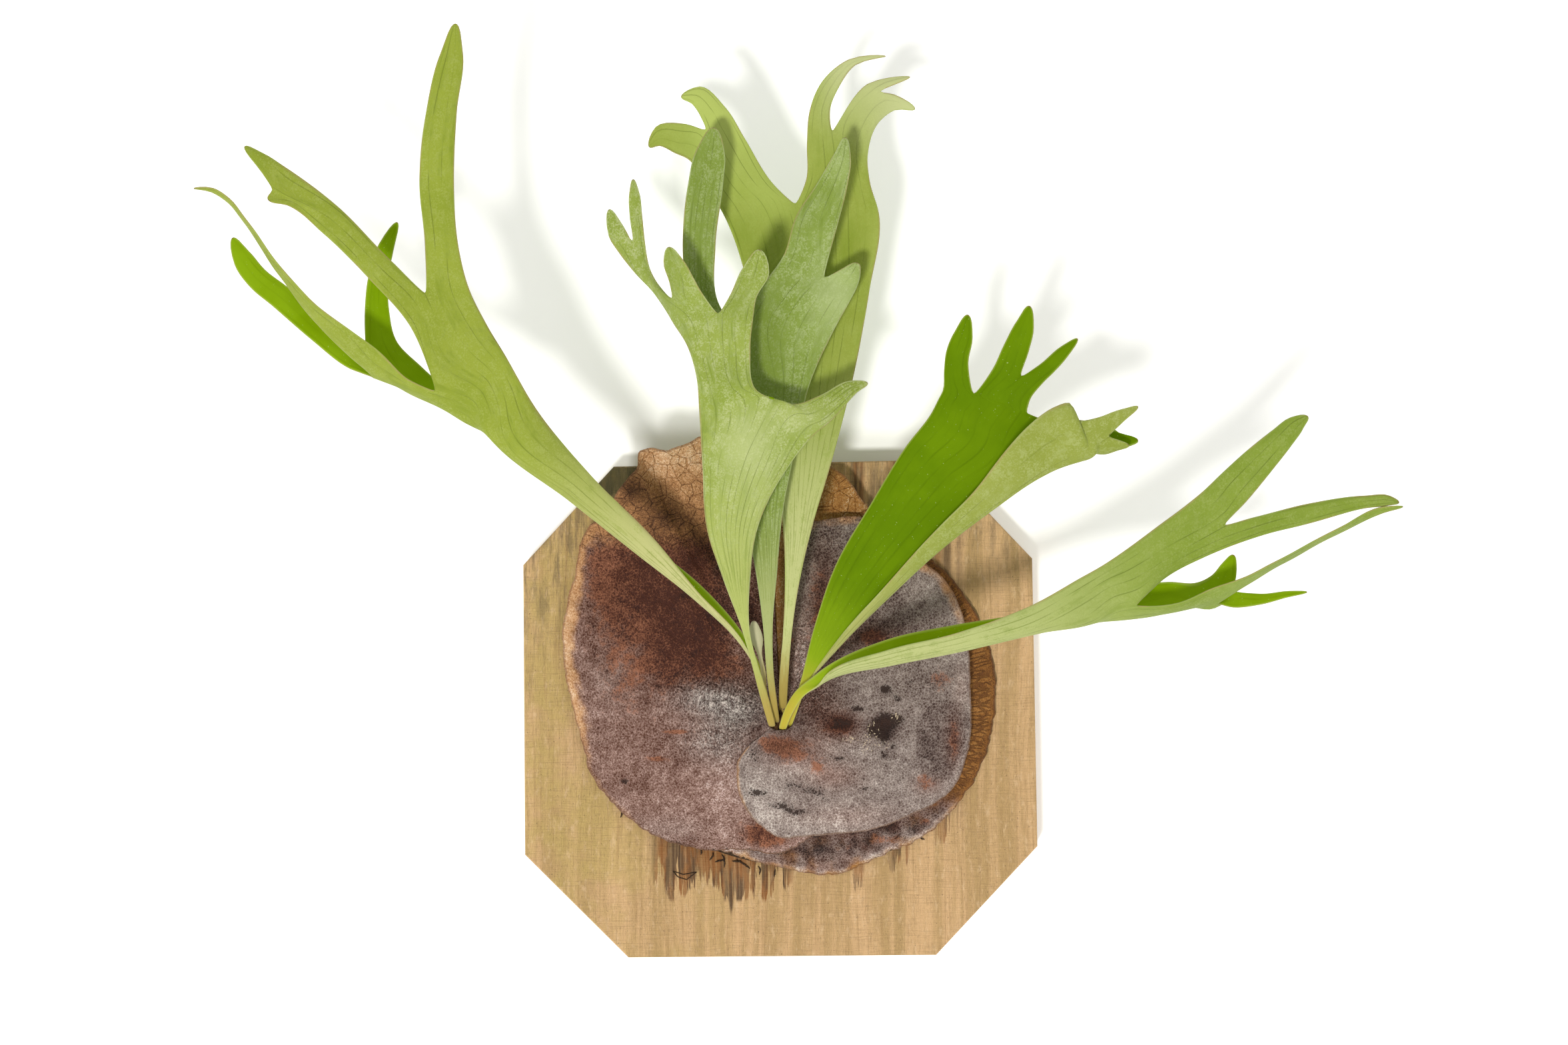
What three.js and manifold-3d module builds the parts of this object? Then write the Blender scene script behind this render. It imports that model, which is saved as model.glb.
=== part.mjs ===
// Mounted staghorn fern (Platycerium) on a hand-cut octagonal board.
//
// Millimetres, +Z up. The origin is the centre of the board's back face, which lies against the wall
// in the plane y = 0. The plant grows towards -Y.
//
// A point of the plant is written [x, z, depth]: depth is its distance in front of the board's front face.

import * as THREE from "three";
import { mergeVertices } from "three/addons/utils/BufferGeometryUtils.js";
import Module from "manifold-3d";

const wasm = await Module();
wasm.setup();

// ---------------------------------------------------------------- driving dimensions

const BOARD_THICK = 22;
const BOARD_BEVEL = 0.8;
const BOARD_CORNERS = [
  [-89.2, -146.2], [91.5, -144.7], [150.9, -80.9], [147.8, 88],
  [92.7, 145.9], [-97.8, 141.9], [-150.9, 84.1], [-149.8, -86],
];

const GAP = 0.3;                 // clearance between pieces that touch

const BUD = { x: 0, z: -6 };     // where every stalk and shield starts
const DOME_HEIGHT = 28;          // root ball in front of the board
const DOME_POWER = 2.4;          // how full the dome is before it falls to its rim
const DOME_REACH = [             // [angle, radius] of the foot of the dome, round the bud
  [-180, 122], [-150, 106], [-125, 92], [-90, 90], [-60, 100], [-30, 118], [0, 127],
  [25, 130], [50, 128], [75, 122], [100, 120], [125, 128], [150, 132], [180, 122],
];
const GROOVE = { angle: 92, width: 9, deep: 6, reach: 95 };   // fold above the bud, under the stalks
const BALL_SINK = 0.6;           // root ball below the dome the shields follow
const BALL_ANGLES = [            // where the root ball's surface is set out, round the bud
  -180, -162, -144, -126, -108, -90, -72, -54, -36, -18, 0, 18, 36, 52, 64, 73, 80, 86, 92, 98, 104,
  111, 120, 132, 146, 162,
];

const SHEET = 1.3;               // thickness of a shield frond
const FIRST_LAYER = 1.9;         // middle surface of the innermost shield over the dome
const LAYER_STEP = 2.4;          // step from one shield's middle surface to the next
const BUD_HOLE = 9;              // radius left open round the bud

const STALK_THICK = 2.2;         // frond thickness at the bud
const BLADE_THICK = 1.0;         // frond thickness in the blade
const STALK_LENGTH = 75;         // distance over which the first becomes the second
const LEAST_AGREE = 0.6;         // limit on how far a fold's corners are pushed out
const HOLE_PLAY = 0.45;          // room left round a stalk in its hole
const ROW_STEP = 18;             // blades are divided about this finely along
const COLUMN_WIDTH = 13;         // and across

const BROWN_FELT = 0x6b4a3c;
const GREY_FELT = 0x77706f;
const OLD_BROWN = 0x8a5a2e;
const GREEN = 0x6f9a1c;
const PALE_GREEN = 0xa9b878;
const WOOD = 0xb89a5e;
const DARK_ROOT = 0x3a2a20;

// ---------------------------------------------------------------- small helpers

const place = ([x, z, depth]) => new THREE.Vector3(x, -(BOARD_THICK + depth), z);

const radians = (degrees) => (degrees * Math.PI) / 180;

const smooth = (from, to, value) => THREE.MathUtils.smoothstep(value, from, to);

function wrapDegrees(angle) {
  return ((((angle + 180) % 360) + 360) % 360) - 180;
}

// Smooth curve through [angle, value] pairs, read at one angle.
function readCurve(pairs, angle) {
  let i = 0;
  while (i < pairs.length - 2 && angle > pairs[i + 1][0]) i += 1;
  const at = (k) => pairs[THREE.MathUtils.clamp(k, 0, pairs.length - 1)];
  const [a0, v0] = at(i);
  const [a1, v1] = at(i + 1);
  const t = THREE.MathUtils.clamp((angle - a0) / (a1 - a0), 0, 1);
  const slope = (k) => (at(k + 1)[1] - at(k - 1)[1]) / Math.max(at(k + 1)[0] - at(k - 1)[0], 1e-6);
  const span = a1 - a0;
  return v0 * (1 + 2 * t) * (1 - t) ** 2 + v1 * t * t * (3 - 2 * t)
    + span * (slope(i) * t * (1 - t) ** 2 - slope(i + 1) * t * t * (1 - t));
}

// Closed solid of a thin sheet: its middle surface thickened to both sides and walled round its edge.
// Both faces are split into the same triangles. A corner is pushed out along the mean of its triangles'
// normals, and further where they spread apart, so the sheet keeps its thickness round a fold.
function sheetGeometry(points, triangles, thickness) {
  const normals = points.map(() => new THREE.Vector3());
  const turns = points.map(() => 0);
  const edges = new Map();
  for (const triangle of triangles) {
    const [a, b, c] = triangle.map((k) => points[k]);
    const normal = b.clone().sub(a).cross(c.clone().sub(a)).normalize();
    triangle.forEach((k, i) => {
      const [next, last] = [triangle[(i + 1) % 3], triangle[(i + 2) % 3]];
      const angle = points[next].clone().sub(points[k]).angleTo(points[last].clone().sub(points[k]));
      normals[k].addScaledVector(normal, angle);
      turns[k] += angle;
      edges.set(`${k},${next}`, [k, next]);
    });
  }
  const count = points.length;
  const positions = [];
  for (const side of [0.5, -0.5]) {
    points.forEach((point, k) => {
      const agree = Math.max(normals[k].length() / turns[k], LEAST_AGREE);
      const offset = normals[k].clone().setLength((side * thickness(k)) / agree);
      positions.push(...point.clone().add(offset).toArray());
    });
  }
  const index = [];
  for (const [a, b, c] of triangles) {
    index.push(a, b, c, count + a, count + c, count + b);
  }
  for (const [a, b] of edges.values()) {
    if (!edges.has(`${b},${a}`)) index.push(b, a, count + a, b, count + a, count + b);
  }
  const geometry = new THREE.BufferGeometry();
  geometry.setAttribute("position", new THREE.Float32BufferAttribute(positions, 3));
  geometry.setIndex(index);
  return geometry;
}

function toManifold(geometry) {
  const bare = new THREE.BufferGeometry();
  bare.setAttribute("position", geometry.getAttribute("position"));
  if (geometry.index) bare.setIndex(geometry.index);
  const merged = mergeVertices(bare, 1e-4);
  return new wasm.Manifold(new wasm.Mesh({
    numProp: 3,
    vertProperties: new Float32Array(merged.getAttribute("position").array),
    triVerts: new Uint32Array(merged.index.array),
  }));
}

function fromManifold(solid) {
  const mesh = solid.getMesh();
  const geometry = new THREE.BufferGeometry();
  geometry.setAttribute("position", new THREE.Float32BufferAttribute(mesh.vertProperties, 3));
  geometry.setIndex(new THREE.Uint32BufferAttribute(mesh.triVerts, 1));
  return geometry;
}

// ---------------------------------------------------------------- fertile fronds

// A frond is a tree of strips. Each row of a strip runs from its left edge to its right edge, through
// none, one or three points between, and is read as five rails. A strip ends in a tip or in a fork: its
// last row's middle is then the sinus, and each half of the row is carried on by a strip of its own.

// Slope of a smooth curve at b, on its way from a to c, per millimetre.
function slopeAt(a, b, c) {
  const before = Math.max(a.distanceTo(b), 1e-3);
  const after = Math.max(b.distanceTo(c), 1e-3);
  const slope = b.clone().sub(a).multiplyScalar(after / before);
  slope.addScaledVector(c.clone().sub(b), before / after);
  return slope.multiplyScalar(1 / (before + after));
}

// Point at t on the curve from p0 to p1 that leaves and arrives with the slopes v0 and v1.
function hermite(p0, v0, p1, v1, t) {
  const reach = p0.distanceTo(p1);
  return p0.clone().multiplyScalar((1 + 2 * t) * (1 - t) ** 2)
    .addScaledVector(v0, reach * t * (1 - t) ** 2)
    .addScaledVector(p1, t * t * (3 - 2 * t))
    .addScaledVector(v1, -reach * t * t * (1 - t));
}

// Point at u (0 to 1) on the smooth curve through three or five points of a row.
function readRow(points, u) {
  const last = points.length - 1;
  const i = Math.min(Math.floor(u * last), last - 1);
  const inner = (k) => slopeAt(points[k - 1], points[k], points[k + 1]);
  const outer = (k, next) => points[next].clone().sub(points[k])
    .multiplyScalar((next - k) * 2 / Math.max(points[k].distanceTo(points[next]), 1e-3)).sub(inner(next));
  const slope = (k) => {
    if (k === 0) return outer(0, 1);
    return k === last ? outer(last, last - 1) : inner(k);
  };
  return hermite(points[i], slope(i), points[i + 1], slope(i + 1), u * last - i);
}

// Slope along the frond at u, blended from those of the five rails.
function blend(slopes, u) {
  const i = Math.min(Math.floor(u * 4), 3);
  return slopes[i].clone().lerp(slopes[i + 1], u * 4 - i);
}

const widthOf = (row) => row.slice(1).reduce((sum, point, i) => sum + point.distanceTo(row[i]), 0);

// A row's five rails in space; widen moves its edges apart.
function rowPoints(row, bulge, widen) {
  const points = row.map(place);
  if (points.length === 5) return points;
  if (points.length === 2) {
    const [left, right] = points;
    const chord = right.clone().sub(left);
    points.splice(1, 0, left.clone().lerp(right, 0.5));
    points[1].y -= bulge * chord.length();
    left.addScaledVector(chord.normalize(), -widen);
    right.addScaledVector(chord, widen);
  }
  return [0, 0.25, 0.5, 0.75, 1].map((u) => readRow(points, u));
}

// Middle surface of a frond: points, triangles, and each point's distance from the bud.
function frondSurface({ bulge = 0.05, notch = 3, round = 0.8, strip }, widen = 0) {
  const points = [];
  const triangles = [];
  const reach = [];

  const addRow = (row, count, distance) => {
    const first = points.length;
    for (let i = 0; i <= count; i += 1) {
      points.push(readRow(row, i / count));
      reach.push(distance);
    }
    return points.slice(first).map((_, i) => first + i);
  };

  // Joins two rows; the upper one has as many columns as the lower, twice as many, or is a tip.
  const stitch = (lower, upper) => {
    const twice = upper.length > lower.length;
    for (let i = 0; i < lower.length - 1; i += 1) {
      const [a, b] = [lower[i], lower[i + 1]];
      if (upper.length === 1) {
        triangles.push([a, b, upper[0]]);
      } else if (twice) {
        const [c, d, e] = upper.slice(2 * i, 2 * i + 3);
        triangles.push([a, d, c], [a, b, d], [b, e, d]);
      } else {
        triangles.push([a, b, upper[i + 1]], [a, upper[i + 1], upper[i]]);
      }
    }
  };

  const rowsOf = (branch) => branch.rows.map((row) => rowPoints(row, bulge, widen));

  // First point of a branch along one rail beyond the row it starts from; none at a sinus.
  const firstPoint = (branch, rail) => {
    if (branch.rows.length) return rowsOf(branch)[0][rail];
    if (branch.tip) return place(branch.tip);
    return rail === 2 ? null : firstPoint(branch.fork[rail / 4], rail);
  };

  const afterFork = ([left, right], rail) => [
    () => firstPoint(left, 0), () => firstPoint(left, 2), () => null,
    () => firstPoint(right, 2), () => firstPoint(right, 4),
  ][rail]();

  // Slopes along the five rails at each row of a branch.
  const slopesOf = (branch, stations) => stations.slice(1).map((row, i) => row.map((point, rail) => {
    const before = stations[i][rail];
    let after = null;
    if (i + 2 < stations.length) after = stations[i + 2][rail];
    else if (branch.tip) after = place(branch.tip);
    else if (branch.fork) after = afterFork(branch.fork, rail);
    return after ? slopeAt(before, point, after) : point.clone().sub(before).normalize();
  }));

  // Grows one branch on from the row, slopes and vertices it starts with.
  const grow = (branch, start) => {
    const stations = [start.row, ...rowsOf(branch)];
    const slopes = [start.slopes, ...slopesOf(branch, stations)];
    if (branch.tip) {
      const row = stations[stations.length - 1];
      const inward = row[4].clone().sub(row[0]).multiplyScalar(round);
      const tip = place(branch.tip);
      stations.push(row.map(() => tip));
      slopes.push(row.map((point, rail) => inward.clone()
        .multiplyScalar((1 - rail / 2) / Math.max(point.distanceTo(tip), 1e-3))));
    }
    let { ids, distance } = start;
    for (let k = 0; k < stations.length - 1; k += 1) {
      const toTip = Boolean(branch.tip) && k === stations.length - 2;
      const length = Math.max(...stations[k].map((point, rail) => point.distanceTo(stations[k + 1][rail])));
      const steps = THREE.MathUtils.clamp(Math.round(length / ROW_STEP), toTip ? 2 : 1, 4);
      for (let j = 1; j <= steps; j += 1) {
        const t = j / steps;
        const row = stations[k].map((point, rail) => hermite(
          point, slopes[k][rail], stations[k + 1][rail], slopes[k + 1][rail], t));
        const columns = ids.length - 1;
        const few = columns < Math.max(2, widthOf(row) / COLUMN_WIDTH);
        const next = toTip && j === steps ? addRow(row, 1, distance + length).slice(0, 1)
          : addRow(row, few ? 2 * columns : columns, distance + t * length);
        stitch(ids, next);
        ids = next;
      }
      distance += length;
    }
    if (branch.fork) split(branch, stations[stations.length - 1], slopes[slopes.length - 1], ids, distance);
  };

  // Starts both branches of a fork; their inner edges leave the sinus sideways.
  const split = (branch, row, slopes, ids, distance) => {
    const half = (ids.length - 1) / 2;
    const chord = row[4].clone().sub(row[0]).normalize();
    branch.fork.forEach((child, which) => {
      const samples = [0, 1, 2, 3, 4].map((rail) => (which + rail / 4) / 2);
      const childSlopes = samples.map((u) => blend(slopes, u));
      const inner = which ? 0 : 4;
      const away = firstPoint(child, inner).distanceTo(row[2]);
      childSlopes[inner] = chord.clone().multiplyScalar(((which ? 1.5 : -1.5) * notch) / away);
      grow(child, {
        row: samples.map((u) => readRow(row, u)),
        slopes: childSlopes,
        ids: which ? ids.slice(half) : ids.slice(0, half + 1),
        distance,
      });
    });
  };

  const [first, second] = rowsOf(strip);
  const slopes = first.map((point, rail) => second[rail].clone().sub(point).normalize());
  const row = first.map((point, rail) => point.clone().addScaledVector(slopes[rail], -widen));
  grow({ ...strip, rows: strip.rows.slice(1) }, { row, slopes, ids: addRow(row, 2, 0), distance: 0 });
  return { points, triangles, reach };
}

// Drops the points no triangle uses.
function compact({ points, triangles, reach }) {
  const used = [...new Set(triangles.flat())].sort((a, b) => a - b);
  const renumber = new Map(used.map((old, now) => [old, now]));
  return {
    points: used.map((k) => points[k]),
    triangles: triangles.map((triangle) => triangle.map((k) => renumber.get(k))),
    reach: used.map((k) => reach[k]),
  };
}

function frondGeometry(frond) {
  const { points, triangles, reach } = compact(frondSurface(frond));
  const { stalk = STALK_THICK } = frond;
  const thickness = (k) => THREE.MathUtils.lerp(stalk, BLADE_THICK, smooth(12, STALK_LENGTH, reach[k]));
  return sheetGeometry(points, triangles, thickness);
}

// The foot of a frond's stalk, grown on every side, to cut the hole it stands in.
function stalkHole({ stalk = STALK_THICK, strip }) {
  const foot = { strip: { rows: strip.rows.slice(0, 3) } };
  const { points, triangles } = compact(frondSurface(foot, HOLE_PLAY));
  return sheetGeometry(points, triangles, () => stalk + 2 * HOLE_PLAY);
}

// Long folded frond to the left: left edge of each row is the back half, right edge the front half.
const FROND_LEFT = {
  strip: {
    rows: [
      [[-4.8, -4.1, 33], [-6.6, -6, 33.4]],
      [[-6.2, 2.8, 38.3], [-8.1, 0.8, 39.2]],
      [[-13, 29.3, 50.3], [-14.8, 27.6, 50.9], [-14.7, 26, 52]],
      [[-21.5, 44.8, 57.4], [-24, 40.9, 59], [-21.8, 41, 62]],
      [[-44.7, 72, 65], [-50, 66, 71], [-47.3, 69.5, 76]],
      [[-75, 97, 74], [-80, 90, 83], [-72, 99.8, 90]],
      [[-112, 133, 88], [-120, 122, 100], [-108.5, 137, 107]],
      [[-149, 174, 98], [-161, 153.7, 113], [-141.8, 179.8, 122]],
      [[-157.5, 177, 98], [-167.8, 161, 108], [-167.5, 161.5, 117], [-158, 175.5, 122], [-147.5, 190, 125]],
      [[-168, 181, 98], [-178, 165.8, 111], [-172.5, 173.5, 120], [-163, 188, 126], [-153.5, 201, 128]],
      [[-186, 184, 99], [-190.4, 173.4, 112], [-194, 183.3, 127], [-180, 202, 131], [-164.5, 219.5, 131]],
    ],
    fork: [
      {
        rows: [
          [[-205, 198.7, 101], [-211, 183.4, 113], [-208.5, 189.3, 131]],
          [
            [-218.2, 212.7, 100], [-226, 209, 101], [-235, 205.5, 103], [-229.5, 191, 114],
            [-226.7, 206.5, 134],
          ],
        ],
        fork: [
          {
            rows: [
              [[-222, 230, 101], [-235.4, 226, 103]],
              [[-222.5, 247, 102], [-233, 249, 105]],
              [[-219.5, 263, 103], [-227, 267, 105]],
            ],
            tip: [-217, 279, 104],
          },
          {
            rows: [],
            fork: [
              {
                rows: [
                  [[-249, 214, 108], [-243, 196, 112]],
                  [[-262, 226, 112], [-264, 212, 116]],
                  [[-277.5, 241.5, 115], [-286, 231.2, 119]],
                  [[-290.5, 251.4, 119], [-298.5, 241.8, 121]],
                  [[-299.5, 262, 122], [-307, 254.3, 123]],
                ],
                tip: [-308.3, 269, 124],
              },
              {
                rows: [
                  [[-241.5, 201.7, 122], [-239.5, 215.9, 136]],
                  [[-262, 222.7, 128], [-260, 231.1, 139]],
                  [[-283.3, 251.2, 133], [-281.5, 254.7, 143]],
                  [[-300.5, 278, 141], [-298.9, 279.8, 149]],
                  [[-308, 287.6, 146], [-307, 289.6, 152]],
                  [[-317, 293.3, 150], [-316, 295.2, 154]],
                ],
                tip: [-326.5, 295.2, 153],
              },
            ],
          },
        ],
      },
      {
        rows: [[[-206.7, 218.3, 136], [-198.6, 237.6, 138], [-174.5, 240, 136]]],
        fork: [
          {
            rows: [
              [[-230, 245.8, 144], [-217, 254.7, 143]],
              [[-254, 269.7, 150], [-247.2, 285.5, 150]],
              [[-274.6, 285.8, 154], [-282.4, 294.2, 156], [-276.4, 307.4, 155]],
            ],
            fork: [
              { rows: [], tip: [-284.5, 288.3, 157] },
              { rows: [[[-288, 303.5, 157], [-287.5, 314.3, 157]]], tip: [-297.8, 317.6, 158] },
            ],
          },
          {
            rows: [
              [[-198.3, 262.6, 143], [-180, 262.8, 141]],
              [[-201, 300, 150], [-182.1, 300, 149]],
              [[-197, 336, 157], [-180, 338, 156]],
              [[-188.5, 370, 160], [-176.5, 371, 160]],
            ],
            tip: [-180.5, 386, 161],
          },
        ],
      },
    ],
  },
};

// Broad pale frond in front; its left side folds back and forks again.
const FROND_CENTRE_FRONT = {
  strip: {
    rows: [
      [[-6.2, -8.5, 36], [-3.7, -8.5, 36]],
      [[-6.6, -7.5, 44], [-3.3, -7.5, 44.5]],
      [[-10.2, 5, 51], [-6.6, 6, 52]],
      [[-22.6, 50, 70], [-17.9, 50, 71]],
      [[-33, 78, 81], [-17.2, 78, 82]],
      [[-41.5, 105, 90], [-13, 106, 91]],
      [[-44, 142, 101], [4, 140, 99]],
      [[-45.8, 174, 107], [-24, 178, 109.5], [-2, 178.6, 110], [10.5, 170.5, 107.5], [22, 161.5, 104]],
    ],
    fork: [
      {
        rows: [
          [[-47, 190, 110], [-13, 183.3, 112]],
          [[-52, 208, 109], [-17, 207, 114]],
          [[-60.5, 222, 100], [-35, 227, 116], [-15.5, 224, 116]],
        ],
        fork: [
          {
            rows: [[[-71, 239, 87], [-61.5, 236, 105], [-45.5, 240.5, 118]]],
            fork: [
              {
                rows: [
                  [[-84, 253, 80], [-74.5, 254, 85]],
                  [[-92.5, 264, 77], [-84.5, 270, 79], [-77.5, 270, 82]],
                ],
                fork: [
                  { rows: [[[-98, 273, 75], [-89.5, 278, 77]]], tip: [-98, 288, 76] },
                  {
                    rows: [
                      [[-85.8, 283, 79], [-79, 284, 81]],
                      [[-86, 298, 80], [-80.8, 298, 81]],
                    ],
                    tip: [-84, 305, 80],
                  },
                ],
              },
              {
                rows: [
                  [[-62.6, 245, 113], [-48.5, 246, 119]],
                  [[-65.6, 256.5, 119], [-55.3, 257.5, 122]],
                ],
                tip: [-62.5, 264, 124],
              },
            ],
          },
          {
            rows: [
              [[-28.8, 236, 118], [-13.5, 236, 117]],
              [[-20.5, 253, 122], [-6.3, 250, 120]],
            ],
            tip: [-11.5, 262.5, 123],
          },
        ],
      },
      {
        rows: [
          [[7, 176, 107.2], [26, 164.5, 103]],
          [[23, 181.2, 103], [33.5, 172, 100]],
          [[39, 189.3, 98], [43.5, 183, 97]],
        ],
        tip: [49.5, 188.5, 95],
      },
    ],
  },
};

// Grey-green frond behind it.
const FROND_CENTRE_MIDDLE = {
  strip: {
    rows: [
      [[-3.0, -6.5, 35], [-0.9, -6.5, 35]],
      [[-3.6, -4.3, 43], [-1.0, -4.3, 43]],
      [[-5, 3, 47], [-1.9, 3, 47]],
      [[-7.3, 20, 53], [-3.9, 20, 53]],
      [[-9.8, 50, 61], [-4.5, 50, 61]],
      [[-13.8, 80, 68], [-2, 80, 68]],
      [[-20, 112, 74], [1, 112, 73]],
      [[-30, 150, 81], [8, 150, 77]],
      [[-40.5, 187, 86], [17, 189, 80]],
      [[-49, 215.5, 89], [-24, 217.5, 91], [28.7, 215.5, 82]],
    ],
    fork: [
      {
        rows: [
          [[-53.5, 241, 91], [-35.5, 234.5, 92]],
          [[-55.3, 270, 93], [-37, 266, 94]],
          [[-52.3, 300.5, 96], [-32.5, 302.5, 96]],
          [[-47, 321.5, 98], [-31.6, 318.5, 98]],
        ],
        tip: [-37.5, 333, 99],
      },
      {
        rows: [
          [[-12, 241, 91], [39, 234.5, 84]],
          [[2.5, 262, 92], [25.2, 248.8, 87], [44.3, 245.2, 86]],
        ],
        fork: [
          {
            rows: [
              [[9, 282.7, 94], [32.6, 279, 90]],
              [[21.7, 302.5, 96], [38, 300.5, 94]],
              [[31, 318.5, 98], [39.8, 317, 97]],
            ],
            tip: [37, 327.5, 98],
          },
          { rows: [[[33.6, 252.6, 88], [45.6, 250.5, 87]]], tip: [43.5, 257, 88] },
        ],
      },
    ],
  },
};

// Yellow-green frond at the back; its right lobes curl towards the wall.
const FROND_CENTRE_BACK = {
  strip: {
    rows: [
      [[0, -2, 33], [3, -2, 33]],
      [[-0.4, 4, 40], [3.4, 4, 40]],
      [[-0.2, 18, 44.5], [4.2, 18, 44.5]],
      [[1.8, 45, 51], [6.4, 45, 51]],
      [[2.8, 72, 55], [10, 70, 55]],
      [[2, 103, 58], [17, 102, 58]],
      [[-4, 145, 60], [29, 143, 60]],
      [[-12, 190, 62], [41.2, 190, 62]],
      [[-18, 243, 64], [51, 242, 63]],
      [[-33, 287, 67], [8.5, 292, 66], [56.6, 286, 64]],
    ],
    fork: [
      {
        rows: [
          [[-43, 303, 70], [-3.5, 302.5, 68]],
          [[-53, 317.5, 73], [-43, 333.8, 75], [-20.5, 329, 73]],
        ],
        fork: [
          {
            rows: [
              [[-60, 320.5, 75], [-54, 336.8, 77]],
              [[-69, 324.5, 78], [-71, 335, 80]],
            ],
            tip: [-75.2, 324.5, 79],
          },
          {
            rows: [
              [[-45.5, 341.5, 77], [-31.5, 346.5, 76]],
              [[-50.5, 348.5, 80], [-46, 358, 79]],
            ],
            tip: [-56.3, 352.8, 81],
          },
        ],
      },
      {
        rows: [
          [[14.8, 305, 67], [51, 306, 65]],
          [[15.5, 326.5, 69], [30, 333.5, 71], [50, 320, 68]],
        ],
        fork: [
          {
            rows: [
              [[16.8, 344, 71], [28.4, 345, 72]],
              [[24.5, 362, 74], [33.5, 358.5, 74]],
              [[39, 374, 73], [43, 371.2, 72]],
            ],
            tip: [60.3, 376.8, 66],
          },
          {
            rows: [[[50, 360, 73], [57.2, 356, 73], [57.2, 339.5, 70]]],
            fork: [
              { rows: [], tip: [74.2, 364.8, 67] },
              { rows: [[[65, 354.3, 71], [65.5, 345.8, 68]]], tip: [77.3, 346.8, 64] },
            ],
          },
        ],
      },
    ],
  },
};

// Glossy frond folded along its lower side: left edge of each row is the back half, right edge the
// front half's free margin.
const FROND_RIGHT_UPPER = {
  strip: {
    rows: [
      [[3.9, -8.5, 35], [6.3, -8.5, 35]],
      [[4.6, -5, 42], [7.6, -5, 42]],
      [[10.8, 13.5, 50.5], [14, 12, 50.5]],
      [[20, 50, 62], [25.6, 47, 63], [31.3, 43.8, 64], [36.6, 41, 66.5], [34.5, 43.8, 70]],
      [[32, 85, 75], [42.2, 79, 75.8], [52.7, 72.8, 77], [62.5, 67, 80.5], [58.8, 71.5, 85.5]],
      [[52, 120, 85], [65, 111.4, 86], [78.3, 102.3, 87.5], [91, 93.6, 91.5], [84.5, 100.5, 97]],
      [[71.5, 152, 91], [87.5, 140.2, 93], [104, 127.8, 96.5], [119.7, 115.9, 102], [110, 127, 109]],
      [[86.5, 172, 95], [107, 160, 98], [128, 147.2, 102], [148.2, 135.4, 109], [131, 154, 118]],
      [[90, 179, 96], [109.5, 170, 99], [132.5, 158.5, 102.5], [156, 139.3, 110], [139.3, 162.8, 119.5]],
      [[92.5, 184, 97], [115, 178, 100], [140.3, 170.7, 102], [164, 142.2, 111.5], [146.5, 169, 120.5]],
    ],
    fork: [
      {
        rows: [[[93.2, 195.5, 98.5], [109.8, 182.2, 99.7], [141, 177.5, 103]]],
        fork: [
          {
            rows: [
              [[94.3, 206, 101], [106.5, 199.5, 102]],
              [[99.2, 217.5, 104], [108.8, 214, 105]],
            ],
            tip: [106.3, 226.5, 107],
          },
          {
            rows: [[[120.5, 196, 103], [136.5, 192, 105], [148, 187.5, 106]]],
            fork: [
              {
                rows: [
                  [[127, 210, 106], [140.5, 206, 107]],
                  [[134.3, 223.5, 109], [143.2, 219, 110]],
                ],
                tip: [141, 231.3, 111],
              },
              {
                rows: [
                  [[146.5, 198, 106], [154.5, 194, 107]],
                  [[159.8, 209, 108], [162.3, 202.8, 109]],
                ],
                tip: [168.2, 212.8, 109],
              },
            ],
          },
        ],
      },
      {
        rows: [
          [[156, 165.3, 103.4], [170.5, 144.1, 112], [155, 174.2, 121.8]],
          [[162.5, 164.7, 103.8], [174.5, 145.3, 112.4], [162.8, 176.3, 122.6]],
          [[169.5, 163, 104.4], [177, 148.6, 110], [178, 148, 115], [173, 157.5, 118.7], [168.3, 166.8, 120.5]],
          [[178, 161.5, 105.2], [183, 148, 112], [180, 153.5, 117], [178.6, 160.5, 119.7], [178.5, 168, 121]],
          [
            [189.5, 161.5, 106], [192, 150.6, 112], [185.3, 157.7, 118], [187.5, 163.8, 120],
            [189.5, 172, 121.5],
          ],
        ],
        fork: [
          {
            rows: [],
            fork: [
              { rows: [[[191.5, 160, 106.5], [196, 151.8, 109.5]]], tip: [202.3, 155.8, 108] },
              { rows: [], tip: [196.6, 153, 116] },
            ],
          },
          { rows: [[[193.5, 166.2, 120.5], [194, 173.2, 121.5]]], tip: [201.5, 174, 122] },
        ],
      },
    ],
  },
};

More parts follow.
